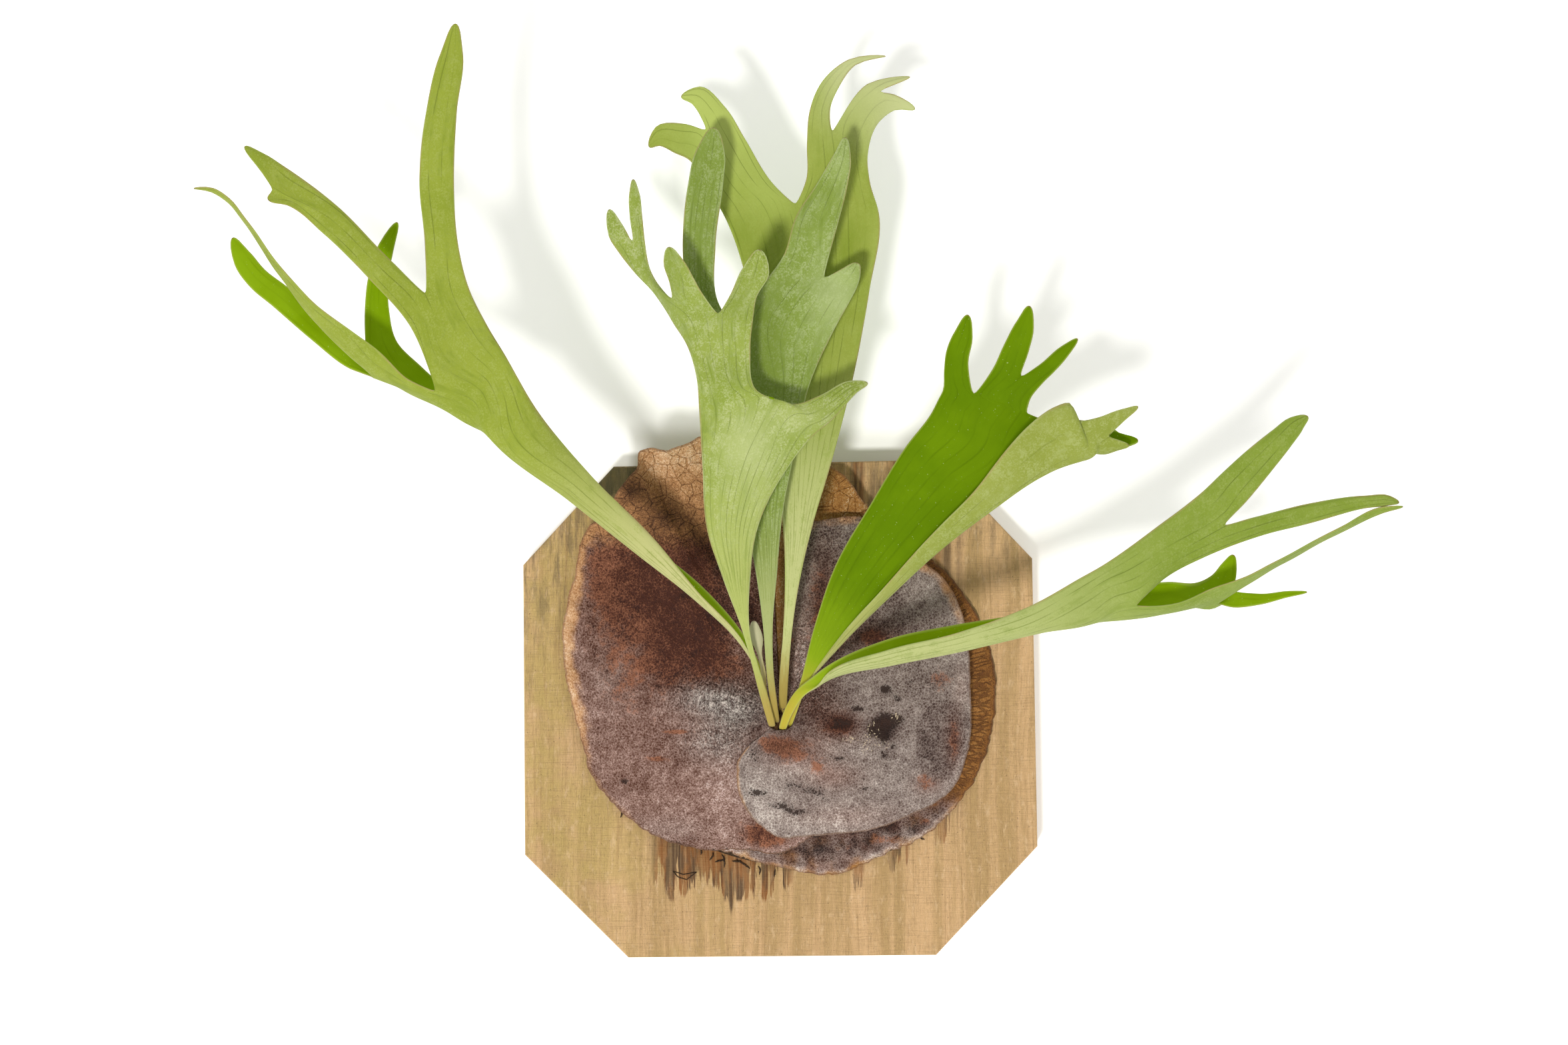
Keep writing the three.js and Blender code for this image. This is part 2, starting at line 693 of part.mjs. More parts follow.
// Longest frond, folded like a gutter and reaching to the right.
const FROND_RIGHT_LOWER = {
  strip: {
    rows: [
      [[-0.3, -10, 36], [3.0, -10, 36]],
      [[-0.2, -8.5, 44.5], [3.4, -9.3, 44.5]],
      [[3.2, 2, 52], [6.8, -1.2, 52.5]],
      [[10.5, 13.5, 59], [14, 10, 60]],
      [[17.5, 19.2, 61.5], [20.4, 15, 64], [21, 14.8, 66.4]],
      [[25.5, 25.5, 65], [28, 19.3, 69], [26.5, 22, 73]],
      [[59.5, 41.5, 76], [63, 27.8, 86], [61, 36.5, 94]],
      [[99, 50.5, 86], [103, 36.2, 99], [101, 46.8, 108]],
      [[143, 58, 95], [148, 47, 110], [142, 62.5, 122]],
      [[174, 66, 101], [177.7, 53, 109.5], [177.7, 53.2, 117.5], [174, 66, 125], [170, 78.6, 130]],
      [[188, 70, 102], [191, 54, 112], [190, 60.5, 121.5], [184.5, 73.5, 129], [180.5, 84.6, 132.5]],
      [[199, 73, 103], [205, 55.6, 113], [200.3, 62.5, 127], [196, 78, 132], [189.8, 90.8, 135]],
    ],
    fork: [
      {
        rows: [
          [[219.9, 75.3, 103], [221.5, 59, 113], [223, 63.6, 129]],
          [[237, 75.2, 104], [245.5, 61, 110], [246.7, 63.3, 116], [246, 67.5, 124], [243, 72.1, 132]],
        ],
        fork: [
          {
            rows: [[[245, 79.5, 104], [257, 70.5, 106], [256, 61.2, 111]]],
            fork: [
              { rows: [[[251, 86.4, 104], [258.4, 82.5, 105]]], tip: [256.9, 90.6, 104] },
              {
                rows: [
                  [[272.5, 68.6, 105], [271.5, 62.7, 108]],
                  [[288.5, 70.2, 104], [286.5, 66.6, 105]],
                ],
                tip: [298.5, 69.6, 103],
              },
            ],
          },
          {
            rows: [
              [[259.8, 72.1, 120], [256.4, 76.8, 134]],
              [[288.4, 89.5, 131], [284.8, 91.2, 142]],
              [[317.9, 105.8, 141], [314.1, 107.6, 148]],
              [[337.1, 114.6, 147], [336.5, 117.9, 150]],
            ],
            tip: [347, 117.9, 152],
          },
        ],
      },
      {
        rows: [
          [[213.5, 76, 129], [216, 90, 136], [210, 105.8, 139]],
          [[238.5, 90, 133], [249, 108, 138], [236.5, 126.4, 142]],
        ],
        fork: [
          {
            rows: [
              [[268.4, 101.4, 136], [265.1, 111.8, 139]],
              [[297.7, 109.2, 142], [295.7, 119.6, 143]],
              [[327.1, 117.2, 147], [327.1, 124, 148]],
              [[339.5, 118.7, 149], [340, 123.9, 149]],
            ],
            tip: [345, 120.3, 150],
          },
          {
            rows: [
              [[260.9, 121, 141], [246.6, 136.1, 143]],
              [[273.6, 137, 145], [261.2, 149.6, 147]],
              [[285.7, 153, 149], [275.2, 160.8, 149]],
              [[291.6, 162, 151], [284.4, 167.5, 151]],
            ],
            tip: [293.7, 168.4, 152],
          },
        ],
      },
    ],
  },
};

// Small new frond, still furled.
const FROND_YOUNG = {
  stalk: 1.8,
  bulge: 0.12,
  strip: {
    rows: [
      [[-3.6, -1.5, 34], [-1.8, -1.5, 34]],
      [[-5.9, 2.6, 43.1], [-4.3, 2.6, 43.1]],
      [[-9.4, 8, 48.3], [-7.6, 8, 48.3]],
      [[-10.8, 22, 52], [-8.5, 22, 52]],
      [[-13.2, 34, 54.5], [-10.8, 34, 54.5]],
      [[-17, 42, 56], [-10.2, 42.5, 56]],
      [[-17.6, 48, 57.5], [-11.8, 48, 57.5]],
    ],
    tip: [-15.2, 52.5, 58.5],
  },
};

// ---------------------------------------------------------------- root ball and shields

// Height of the root ball's dome over the board at an angle and radius round the bud.
function domeDepth(angle, radius) {
  const share = Math.min(radius / readCurve(DOME_REACH, wrapDegrees(angle)), 1);
  const turn = radians(angle - GROOVE.angle);
  const aside = (radius * Math.sin(turn)) / GROOVE.width;
  const fade = smooth(12, 25, radius) * (1 - smooth(0.4 * GROOVE.reach, GROOVE.reach, radius));
  const groove = Math.cos(turn) > 0 ? GROOVE.deep * Math.exp(-aside * aside) * fade : 0;
  return Math.max(DOME_HEIGHT * (1 - share ** DOME_POWER) - groove, 0);
}

function budPoint(angle, radius, depth) {
  return place([
    BUD.x + radius * Math.cos(radians(angle)), BUD.z + radius * Math.sin(radians(angle)), depth,
  ]);
}

// The rim's own angles, with more set between them where they lie more than a step apart.
function rimAngles(rim, step) {
  const angles = [rim[0][0]];
  for (let i = 1; i < rim.length; i += 1) {
    const [from, to] = [rim[i - 1][0], rim[i][0]];
    const parts = Math.ceil((to - from) / step);
    for (let k = 1; k <= parts; k += 1) angles.push(from + ((to - from) * k) / parts);
  }
  return angles;
}

// A shield frond: a thin sheet over the dome, from the hole round the bud out to its rim. The rim and
// its lift off the dome are [angle, value] curves, and waves run round the rim.
function shieldGeometry({ layer, rim, lift, waves, step, rings }) {
  const points = [];
  const triangles = [];
  const angles = rimAngles(rim, step);
  for (const angle of angles) {
    const edge = readCurve(rim, angle);
    const raise = readCurve(lift, angle);
    for (let j = 0; j <= rings; j += 1) {
      const share = (j / rings) ** 0.85;
      const radius = THREE.MathUtils.lerp(BUD_HOLE, edge, share);
      const wave = waves.size * Math.sin(radians(angle * waves.count)) ** 2 * share ** 4;
      points.push(budPoint(angle, radius, domeDepth(angle, radius) + layer + raise * share ** 3 + wave));
    }
  }
  const row = rings + 1;
  for (let i = 0; i < angles.length - 1; i += 1) {
    for (let j = 0; j < rings; j += 1) {
      const a = i * row + j;
      triangles.push([a, a + 1, a + row + 1], [a, a + row + 1, a + row]);
    }
  }
  return sheetGeometry(points, triangles, () => SHEET);
}

const SHIELD_OLD = {
  layer: FIRST_LAYER,
  rim: [
    [-236, 118], [-210, 100], [-180, 104], [-150, 92], [-120, 84], [-92, 86], [-78, 93], [-70, 97],
    [-60, 98], [-50, 101], [-40, 108], [-28, 114], [-15, 120], [0, 125], [15, 129], [27, 124],
    [40, 122], [52, 118], [62, 130], [69, 136], [76, 148], [84, 152], [98, 140],
  ],
  lift: [[-236, 0], [50, 0], [62, 7], [72, 12], [98, 12]],
  waves: { size: 1.2, count: 9 },
  step: 10,
  rings: 5,
};

const SHIELD_LEFT = {
  layer: FIRST_LAYER + LAYER_STEP,
  rim: [
    [93, 151], [98, 160], [105.6, 171], [108, 169.5], [111.5, 170], [113, 170.2], [115.4, 175.3],
    [117.8, 175.5], [119.2, 169], [121.8, 166], [126, 162.5], [129, 157], [136, 158], [144, 148],
    [151, 142], [157, 138], [166, 130], [176, 122], [186, 117], [197, 115], [208, 109], [220, 102],
    [236, 91], [254, 79], [270, 78], [285, 70], [302, 60],
  ],
  lift: [[93, 26], [100, 34], [112, 40], [124, 34], [136, 12], [150, 3], [180, 1.5], [302, 0]],
  waves: { size: 1.6, count: 10 },
  step: 7,
  rings: 5,
};

const SHIELD_RIGHT = {
  layer: FIRST_LAYER + 2 * LAYER_STEP,
  rim: [
    [-141, 25], [-136, 34.5], [-130, 39], [-120, 48], [-110, 56], [-99, 63], [-90, 68.5], [-80, 69],
    [-66, 72.5], [-48, 84.5], [-36, 94], [-22, 108], [-8, 111], [8, 112], [22, 117], [33, 120],
    [43, 124], [56, 124], [68, 127], [78, 119], [86, 113],
  ],
  lift: [[-141, 1.5], [-60, 2], [0, 2], [40, 4], [60, 10], [75, 13], [86, 13]],
  waves: { size: 1, count: 9 },
  step: 10,
  rings: 5,
};

// The rhizome: a foot buried in the root ball, and a neck through the shields that bears the stalks.
const RHIZOME = { foot: 14, neck: BUD_HOLE - 0.6, low: 15, step: 20, high: 38 };

// Turned blank of the rhizome, grown by extra on every side.
function rhizomeBlank(extra) {
  const { foot, neck, low, step, high } = RHIZOME;
  const profile = [
    [0, low - extra], [foot + extra, low - extra], [foot + extra, step + extra],
    [neck + extra, step + 2 + extra], [neck + extra, high - 2.5 + extra],
    [0.6 * neck + extra, high + extra], [0, high + 0.6 + extra],
  ];
  const lathe = new THREE.LatheGeometry(profile.map(([r, h]) => new THREE.Vector2(r, h)), 16);
  lathe.rotateX(Math.PI);
  lathe.translate(BUD.x, -BOARD_THICK, BUD.z);
  return toManifold(lathe);
}

function rhizomeGeometry(fronds) {
  let solid = rhizomeBlank(0);
  for (const frond of fronds) solid = solid.subtract(toManifold(stalkHole(frond)));
  return fromManifold(solid);
}

function rootBallGeometry() {
  const rings = [0.12, 0.3, 0.5, 0.7, 0.85, 0.94];
  const points = [budPoint(0, 0, DOME_HEIGHT - BALL_SINK)];
  const triangles = [];
  for (const angle of BALL_ANGLES) {
    const reach = readCurve(DOME_REACH, angle);
    for (const share of rings) {
      points.push(budPoint(angle, share * reach, domeDepth(angle, share * reach) - BALL_SINK));
    }
    points.push(budPoint(angle, 0.94 * reach, GAP));
  }
  points.push(budPoint(0, 0, GAP));
  const turns = BALL_ANGLES.length;
  const row = rings.length + 1;
  const foot = points.length - 1;
  const at = (i, j) => 1 + (i % turns) * row + j;
  for (let i = 0; i < turns; i += 1) {
    triangles.push([0, at(i, 0), at(i + 1, 0)], [foot, at(i + 1, row - 1), at(i, row - 1)]);
    for (let j = 0; j < row - 1; j += 1) {
      triangles.push([at(i, j), at(i, j + 1), at(i + 1, j + 1)], [at(i, j), at(i + 1, j + 1), at(i + 1, j)]);
    }
  }
  const geometry = new THREE.BufferGeometry();
  geometry.setAttribute("position", new THREE.Float32BufferAttribute(
    points.flatMap((point) => point.toArray()), 3));
  geometry.setIndex(triangles.flat());
  return fromManifold(toManifold(geometry).subtract(rhizomeBlank(GAP)));
}

function boardGeometry() {
  const outline = new THREE.Shape(BOARD_CORNERS.map(([x, z]) => new THREE.Vector2(x, z)));
  const board = new THREE.ExtrudeGeometry(outline, {
    depth: BOARD_THICK - 2 * BOARD_BEVEL,
    bevelEnabled: true,
    bevelThickness: BOARD_BEVEL,
    bevelSize: BOARD_BEVEL,
    bevelOffset: -BOARD_BEVEL,
    bevelSegments: 1,
  });
  board.rotateX(Math.PI / 2);
  board.translate(0, -BOARD_BEVEL, 0);
  return board;
}

// ---------------------------------------------------------------- assembly

const fern = new THREE.Group();

function add(name, geometry, color, roughness) {
  const material = new THREE.MeshStandardMaterial({ color, roughness, metalness: 0 });
  const mesh = new THREE.Mesh(geometry, material);
  mesh.name = name;
  fern.add(mesh);
}

const FRONDS = [
  ["frond_left", FROND_LEFT, PALE_GREEN],
  ["frond_centre_front", FROND_CENTRE_FRONT, PALE_GREEN],
  ["frond_centre_middle", FROND_CENTRE_MIDDLE, PALE_GREEN],
  ["frond_centre_back", FROND_CENTRE_BACK, GREEN],
  ["frond_right_upper", FROND_RIGHT_UPPER, GREEN],
  ["frond_right_lower", FROND_RIGHT_LOWER, GREEN],
  ["frond_young", FROND_YOUNG, PALE_GREEN],
];

add("board", boardGeometry(), WOOD, 0.8);
add("root_ball", rootBallGeometry(), DARK_ROOT, 1);
add("rhizome", rhizomeGeometry(FRONDS.map(([, frond]) => frond)), DARK_ROOT, 1);
add("shield_old", shieldGeometry(SHIELD_OLD), OLD_BROWN, 0.9);
add("shield_left", shieldGeometry(SHIELD_LEFT), BROWN_FELT, 0.85);
add("shield_right", shieldGeometry(SHIELD_RIGHT), GREY_FELT, 0.85);
for (const [name, frond, color] of FRONDS) {
  add(name, frondGeometry(frond), color, 0.6);
}

export default fern;
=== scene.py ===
"""Mounted staghorn fern on an octagonal board: the looks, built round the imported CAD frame.

Lengths are millimetres, turned into metres as meshes are made. The origin is the centre of the board's
back face, +Z is up and the plant grows towards -Y. A point of the plant is (x, z, depth), with depth its
distance in front of the board's front face. Angles round the bud are degrees, from +X towards +Z.
"""

import math

import bpy
import numpy as np
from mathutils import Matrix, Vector, noise


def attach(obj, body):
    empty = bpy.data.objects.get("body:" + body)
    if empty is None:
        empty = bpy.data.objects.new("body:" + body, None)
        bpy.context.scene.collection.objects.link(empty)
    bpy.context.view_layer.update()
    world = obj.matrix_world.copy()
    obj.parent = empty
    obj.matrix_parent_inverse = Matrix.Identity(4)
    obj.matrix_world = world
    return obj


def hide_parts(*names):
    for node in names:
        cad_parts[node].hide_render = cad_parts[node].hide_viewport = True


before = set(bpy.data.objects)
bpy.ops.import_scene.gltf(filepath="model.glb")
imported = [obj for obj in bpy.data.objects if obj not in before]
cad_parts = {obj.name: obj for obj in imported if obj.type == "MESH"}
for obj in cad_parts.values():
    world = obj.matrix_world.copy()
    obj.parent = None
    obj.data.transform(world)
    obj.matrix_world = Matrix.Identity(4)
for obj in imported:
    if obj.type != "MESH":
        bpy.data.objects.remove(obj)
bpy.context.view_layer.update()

MM = 0.001
TINY = 1e-9
BOARD_THICK = 22
BUD = (0, -6)                      # x and z of the bud that every stalk and shield starts from

# Camera: level, square to the board, with its axis through this point of the board's front
CAMERA_AIM = (2.15, 109.1)
CAMERA_AWAY = 3000
VIEW_WIDTH = 920.3                 # what the picture's width takes in at the board's front
SENSOR = 36

# Stage and light
STAGE_WHITE = (0.93, 0.93, 0.92)
STAGE_REACH = 3                    # metres, as are the next two
FLOOR_LEVEL = -1.25
WALL_GAP = 0.0006
WALL_OPENING = [                   # x and z, just inside the board's outline
    (-146, 82), (-147, -84), (-87, -142), (89, -142), (147, -82), (144, 83), (93, 142), (-96, 139),
]
WALL_GLOW = 0.30                   # keeps the shadows on the wall as faint as they are in the photo
WALL_GLOW_COLOUR = (1.0, 0.99, 0.965)
SKY_COLOUR, SKY_STRENGTH = (1.0, 0.99, 0.975), 0.62
KEY_COLOUR, KEY_STRENGTH, KEY_ANGLE = (1.0, 0.985, 0.96), 2.1, 8
KEY_TOWARDS = (0.22, 1.0, 0.36)

# Fronds
BLADE_THICK = 1.0
STALK_THICK = 2.2
STALK_LENGTH = 75
FOLD = 0.05                        # how far a blade's middle stands off the line between its edges
NOTCH = 3                          # width of the round end of the cut between two lobes
TIP_ROUND = 0.8
RIPPLE = 0.5                       # size of the waves along the free edges
LEAST_AGREE = 0.6                  # keeps a sheet's points near it where its faces turn sharply
ROW_STEP = 3.2
COLUMN_WIDTH = 2.4
LEAST_COLUMNS = 8
FAR = 999                          # distance to the tip, anywhere but in a lobe's last strip

# Root ball and shields
DOME_HEIGHT = 28
DOME_POWER = 2.4
DOME_REACH = [                     # angle and radius of the dome's foot
    (-180, 122), (-150, 106), (-125, 92), (-90, 90), (-60, 100), (-30, 118), (0, 127),
    (25, 130), (50, 128), (75, 122), (100, 120), (125, 128), (150, 132), (180, 122),
]
GROOVE = {"angle": 92, "width": 9, "deep": 6, "reach": 95}
SHEET = 1.3                        # thickness of a shield
FIRST_LAYER = 1.9
LAYER_STEP = 2.4
COLLAR = [                         # angle and radius of the gap that the shields leave at the bud
    (-180, 7.8), (-135, 6.4), (-90, 5.4), (-45, 6.4), (0, 7.8), (90, 7.2), (180, 7.8),
]
COLLAR_TOP = 37                    # depth of the inmost shield's lip at the bud
ROOT_BITS = [                      # angle and radius of the start, length, and turn from straight out
    (-114, 86, 8.4, 1.2), (-111, 88, 6.3, -0.9), (-108, 86, 9.8, 0.9), (-105, 86, 5.6, -1.3),
    (-117, 87, 5.6, 0.4), (-122, 88, 4.9, 0.8), (-99, 87, 5.6, 0.6), (-128, 92, 4.2, -0.6),
    (-92, 88, 4.2, 0.5), (-36, 106, 4.9, 0.7), (-40, 106, 4.2, -0.4), (210, 106, 4.9, 0.6),
    (172, 118, 4.2, -0.7),
]
ON_BOARD = 0.35                    # depth of a root's middle where it lies on the board
SCRAP = [                          # x and z along each strand of the scrap on the board
    [(-63, -95.5), (-57, -97.5), (-49, -96)], [(-63, -95.5), (-60, -99), (-55, -100.5)],
    [(-55, -100.5), (-52.5, -98.6), (-49, -96)],
]


# ---------------------------------------------------------------- small helpers

def place(point):
    """(x, z, depth) as a point of space, in millimetres."""
    x, z, depth = point
    return np.array([x, -(BOARD_THICK + depth), z], float)


def length(vector):
    return float(np.sqrt(np.dot(vector, vector)))


def lengths(vectors):
    """Length of each row of an array, in a column."""
    return np.linalg.norm(vectors, axis=-1, keepdims=True)


def smooth(low, high, value):
    """Smooth step from 0 at low to 1 at high, for numbers and arrays; high may be the smaller."""
    t = np.clip((value - low) / (high - low), 0, 1)
    return t * t * (3 - 2 * t)


def read_curve(pairs, at):
    """Smooth curve through (position, value) pairs, read at one position."""
    last = len(pairs) - 1
    i = 0
    while i < last - 1 and at > pairs[i + 1][0]:
        i += 1
    (a0, v0), (a1, v1) = pairs[i], pairs[i + 1]
    t = min(max((at - a0) / (a1 - a0), 0), 1)
    slopes = []
    for k in (i, i + 1):
        before, after = pairs[max(k - 1, 0)], pairs[min(k + 1, last)]
        slopes.append((after[1] - before[1]) / max(after[0] - before[0], TINY))
    bend = (a1 - a0) * (slopes[0] * t * (1 - t) ** 2 - slopes[1] * t * t * (1 - t))
    return v0 * (1 + 2 * t) * (1 - t) ** 2 + v1 * t * t * (3 - 2 * t) + bend


def fuzz(x, y, z=0.0, seed=0.0):
    """Noise from -1 to 1 at a point."""
    return noise.noise(Vector((x + 17.3 * seed, y - 9.1 * seed, z + 5.7 * seed)))


def blobs(x, z, spots):
    """Sum of soft round spots (x, z, half width, half height, strength)."""
    total = np.zeros_like(x)
    for cx, cz, wide, high, strength in spots:
        total += strength * np.exp(-((x - cx) / wide) ** 2 - ((z - cz) / high) ** 2)
    return total


def mesh_object(name, points, faces, materials, attributes=(), face_materials=None):
    """A smooth-shaded mesh from points in millimetres."""
    mesh = bpy.data.meshes.new(name)
    mesh.from_pydata((np.asarray(points) * MM).tolist(), [], faces)
    for key, values in attributes:
        layer = mesh.attributes.new(key, "FLOAT_VECTOR", "POINT")
        layer.data.foreach_set("vector", np.asarray(values, np.float32).ravel())
    for material in materials:
        mesh.materials.append(material)
    if face_materials is not None:
        mesh.polygons.foreach_set("material_index", np.asarray(face_materials, np.int32))
    mesh.polygons.foreach_set("use_smooth", np.ones(len(faces), bool))
    mesh.update()
    return linked(name, mesh)


def linked(name, data):
    """A new object in the scene."""
    made = bpy.data.objects.new(name, data)
    bpy.context.scene.collection.objects.link(made)
    return made


def settle(piece, node=None):
    """The piece rides on the only body and may stand for a CAD node."""
    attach(piece, "root")
    if node:
        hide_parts(node)


# ---------------------------------------------------------------- thin sheets

def corner_normals(points, faces):
    """Mean normal at each point, weighted by the faces' angles, and how far its faces agree."""
    normals = np.zeros_like(points)
    turns = np.zeros(len(points))
    for size in (3, 4):
        some = np.array([face for face in faces if len(face) == size], int)
        if not len(some):
            continue
        corners = points[some]
        across = np.cross(corners[:, 1] - corners[:, 0], corners[:, -1] - corners[:, 0])
        if size == 4:
            across = np.cross(corners[:, 2] - corners[:, 0], corners[:, 3] - corners[:, 1])
        unit = across / np.maximum(lengths(across), TINY)
        for k in range(size):
            ahead = corners[:, (k + 1) % size] - corners[:, k]
            behind = corners[:, k - 1] - corners[:, k]
            product = np.maximum(lengths(ahead) * lengths(behind), TINY)[:, 0]
            angle = np.arccos(np.clip((ahead * behind).sum(1) / product, -1, 1))
            np.add.at(normals, some[:, k], unit * angle[:, None])
            np.add.at(turns, some[:, k], angle)
    size = lengths(normals)
    return normals / np.maximum(size, TINY), size[:, 0] / np.maximum(turns, TINY)


def open_edges(faces):
    """Edges with a face on one side only, each in that face's direction."""
    edges = {}
    for face in faces:
        for a, b in zip(face, face[1:] + face[:1]):
            edges[(a, b)] = True
    return [(a, b) for a, b in edges if (b, a) not in edges]


def thicken(points, faces, thickness, rounding=0.35):
    """Closed solid of a thin sheet with a rounded rim. Returns its points, faces, the sheet point that
    each point comes from, and a side for each face: 0 front, 1 back, 2 rim."""
    normals, agree = corner_normals(points, faces)
    offset = normals * (thickness / 2 / np.maximum(agree, LEAST_AGREE))[:, None]
    rim = open_edges(faces)
    out = np.zeros_like(points)
    for a, b in rim:
        away = np.cross(points[b] - points[a], normals[a] + normals[b])
        away /= max(length(away), TINY)
        out[a] += away
        out[b] += away
    rim_points = sorted({k for edge in rim for k in edge})
    number = {k: 2 * len(points) + i for i, k in enumerate(rim_points)}
    out = out[rim_points]
    out /= np.maximum(lengths(out), TINY)
    middle = points[rim_points] + out * (rounding * thickness[rim_points])[:, None]
    count = len(points)
    solid = np.vstack([points + offset, points - offset, middle])
    shell = [list(face) for face in faces] + [[count + k for k in reversed(face)] for face in faces]
    sides = [0] * len(faces) + [1] * len(faces)
    for a, b in rim:
        shell.append([b, a, number[a], number[b]])
        shell.append([number[b], number[a], count + a, count + b])
        sides += [2, 2]
    source = np.concatenate([np.arange(count), np.arange(count), rim_points]).astype(int)
    return solid, shell, source, sides


# ---------------------------------------------------------------- fertile fronds

# A frond is a tree of strips, each filed under its way from the stalk: "" is the stalk's own strip, "l"
# and "r" are the left and right branches at its fork, "lr" is the right branch of the left one. Each row
# of a strip runs from its left edge to its right edge, through none, one or three points between, and is
# read as five rails. A strip ends in a tip or in a fork: the middle of the row before a fork is its
# sinus, and each half of that row is carried on by a branch. A strip may have no row of its own.

# Long folded frond to the left: a row's left edge is the back half, its right edge the front half
FROND_LEFT = {
    "rows": {
        "": [
            [(-4.8, -4.1, 33), (-6.6, -6, 33.4)], [(-6.2, 2.8, 38.3), (-8.1, 0.8, 39.2)],
            [(-13, 29.3, 50.3), (-14.8, 27.6, 50.9), (-14.7, 26, 52)],
            [(-21.5, 44.8, 57.4), (-24, 40.9, 59), (-21.8, 41, 62)],
            [(-44.7, 72, 65), (-50, 66, 71), (-47.3, 69.5, 76)],
            [(-75, 97, 74), (-80, 90, 83), (-72, 99.8, 90)],
            [(-112, 133, 88), (-120, 122, 100), (-108.5, 137, 107)],
            [(-149, 174, 98), (-161, 153.7, 113), (-141.8, 179.8, 122)],
            [(-157.5, 177, 98), (-167.8, 161, 108), (-167.5, 161.5, 117), (-158, 175.5, 122),
             (-147.5, 190, 125)],
            [(-168, 181, 98), (-178, 165.8, 111), (-172.5, 173.5, 120), (-163, 188, 126),
             (-153.5, 201, 128)],
            [(-186, 184, 99), (-190.4, 173.4, 112), (-194, 183.3, 127), (-180, 202, 131),
             (-164.5, 219.5, 131)],
        ],
        "l": [
            [(-205, 198.7, 101), (-211, 183.4, 113), (-208.5, 189.3, 131)],
            [(-218.2, 212.7, 100), (-226, 209, 101), (-235, 205.5, 103), (-229.5, 191, 114),
             (-226.7, 206.5, 134)],
        ],
        "ll": [
            [(-222, 230, 101), (-235.4, 226, 103)], [(-222.5, 247, 102), (-233, 249, 105)],
            [(-219.5, 263, 103), (-227, 267, 105)],
        ],
        "lrl": [
            [(-249, 214, 108), (-243, 196, 112)], [(-262, 226, 112), (-264, 212, 116)],
            [(-277.5, 241.5, 115), (-286, 231.2, 119)], [(-290.5, 251.4, 119), (-298.5, 241.8, 121)],
            [(-299.5, 262, 122), (-307, 254.3, 123)],
        ],
        "lrr": [
            [(-241.5, 201.7, 122), (-239.5, 215.9, 136)], [(-262, 222.7, 128), (-260, 231.1, 139)],
            [(-283.3, 251.2, 133), (-281.5, 254.7, 143)], [(-300.5, 278, 141), (-298.9, 279.8, 149)],
            [(-308, 287.6, 146), (-307, 289.6, 152)], [(-317, 293.3, 150), (-316, 295.2, 154)],
        ],
        "r": [[(-206.7, 218.3, 136), (-198.6, 237.6, 138), (-174.5, 240, 136)]],
        "rl": [
            [(-230, 245.8, 144), (-217, 254.7, 143)], [(-254, 269.7, 150), (-247.2, 285.5, 150)],
            [(-274.6, 285.8, 154), (-282.4, 294.2, 156), (-276.4, 307.4, 155)],
        ],
        "rlr": [[(-288, 303.5, 157), (-287.5, 314.3, 157)]],
        "rr": [
            [(-198.3, 262.6, 143), (-180, 262.8, 141)], [(-201, 300, 150), (-182.1, 300, 149)],
            [(-197, 336, 157), (-180, 338, 156)], [(-188.5, 370, 160), (-176.5, 371, 160)],
        ],
    },
    "tips": {
        "ll": (-217, 279, 104), "lrl": (-308.3, 269, 124), "lrr": (-326.5, 295.2, 153),
        "rll": (-284.5, 288.3, 157), "rlr": (-297.8, 317.6, 158), "rr": (-180.5, 386, 161),
    },
}

# Broad pale frond in front; its left side folds back and forks again
FROND_CENTRE_FRONT = {
    "rows": {
        "": [
            [(-6.2, -8.5, 36), (-3.7, -8.5, 36)], [(-6.6, -7.5, 44), (-3.3, -7.5, 44.5)],
            [(-10.2, 5, 51), (-6.6, 6, 52)], [(-22.6, 50, 70), (-17.9, 50, 71)],
            [(-33, 78, 81), (-17.2, 78, 82)], [(-41.5, 105, 90), (-13, 106, 91)],
            [(-44, 142, 101), (4, 140, 99)],
            [(-45.8, 174, 107), (-24, 178, 109.5), (-2, 178.6, 110), (10.5, 170.5, 107.5),
             (22, 161.5, 104)],
        ],
        "l": [
            [(-47, 190, 110), (-13, 183.3, 112)], [(-52, 208, 109), (-17, 207, 114)],
            [(-60.5, 222, 100), (-35, 227, 116), (-15.5, 224, 116)],
        ],
        "ll": [[(-71, 239, 87), (-61.5, 236, 105), (-45.5, 240.5, 118)]],
        "lll": [[(-84, 253, 80), (-74.5, 254, 85)], [(-92.5, 264, 77), (-84.5, 270, 79), (-77.5, 270, 82)]],
        "llll": [[(-98, 273, 75), (-89.5, 278, 77)]],
        "lllr": [[(-85.8, 283, 79), (-79, 284, 81)], [(-86, 298, 80), (-80.8, 298, 81)]],
        "llr": [[(-62.6, 245, 113), (-48.5, 246, 119)], [(-65.6, 256.5, 119), (-55.3, 257.5, 122)]],
        "lr": [[(-28.8, 236, 118), (-13.5, 236, 117)], [(-20.5, 253, 122), (-6.3, 250, 120)]],
        "r": [
            [(7, 176, 107.2), (26, 164.5, 103)], [(23, 181.2, 103), (33.5, 172, 100)],
            [(39, 189.3, 98), (43.5, 183, 97)],
        ],
    },
    "tips": {
        "llll": (-98, 288, 76), "lllr": (-84, 305, 80), "llr": (-62.5, 264, 124), "lr": (-11.5, 262.5, 123),
        "r": (49.5, 188.5, 95),
    },
}

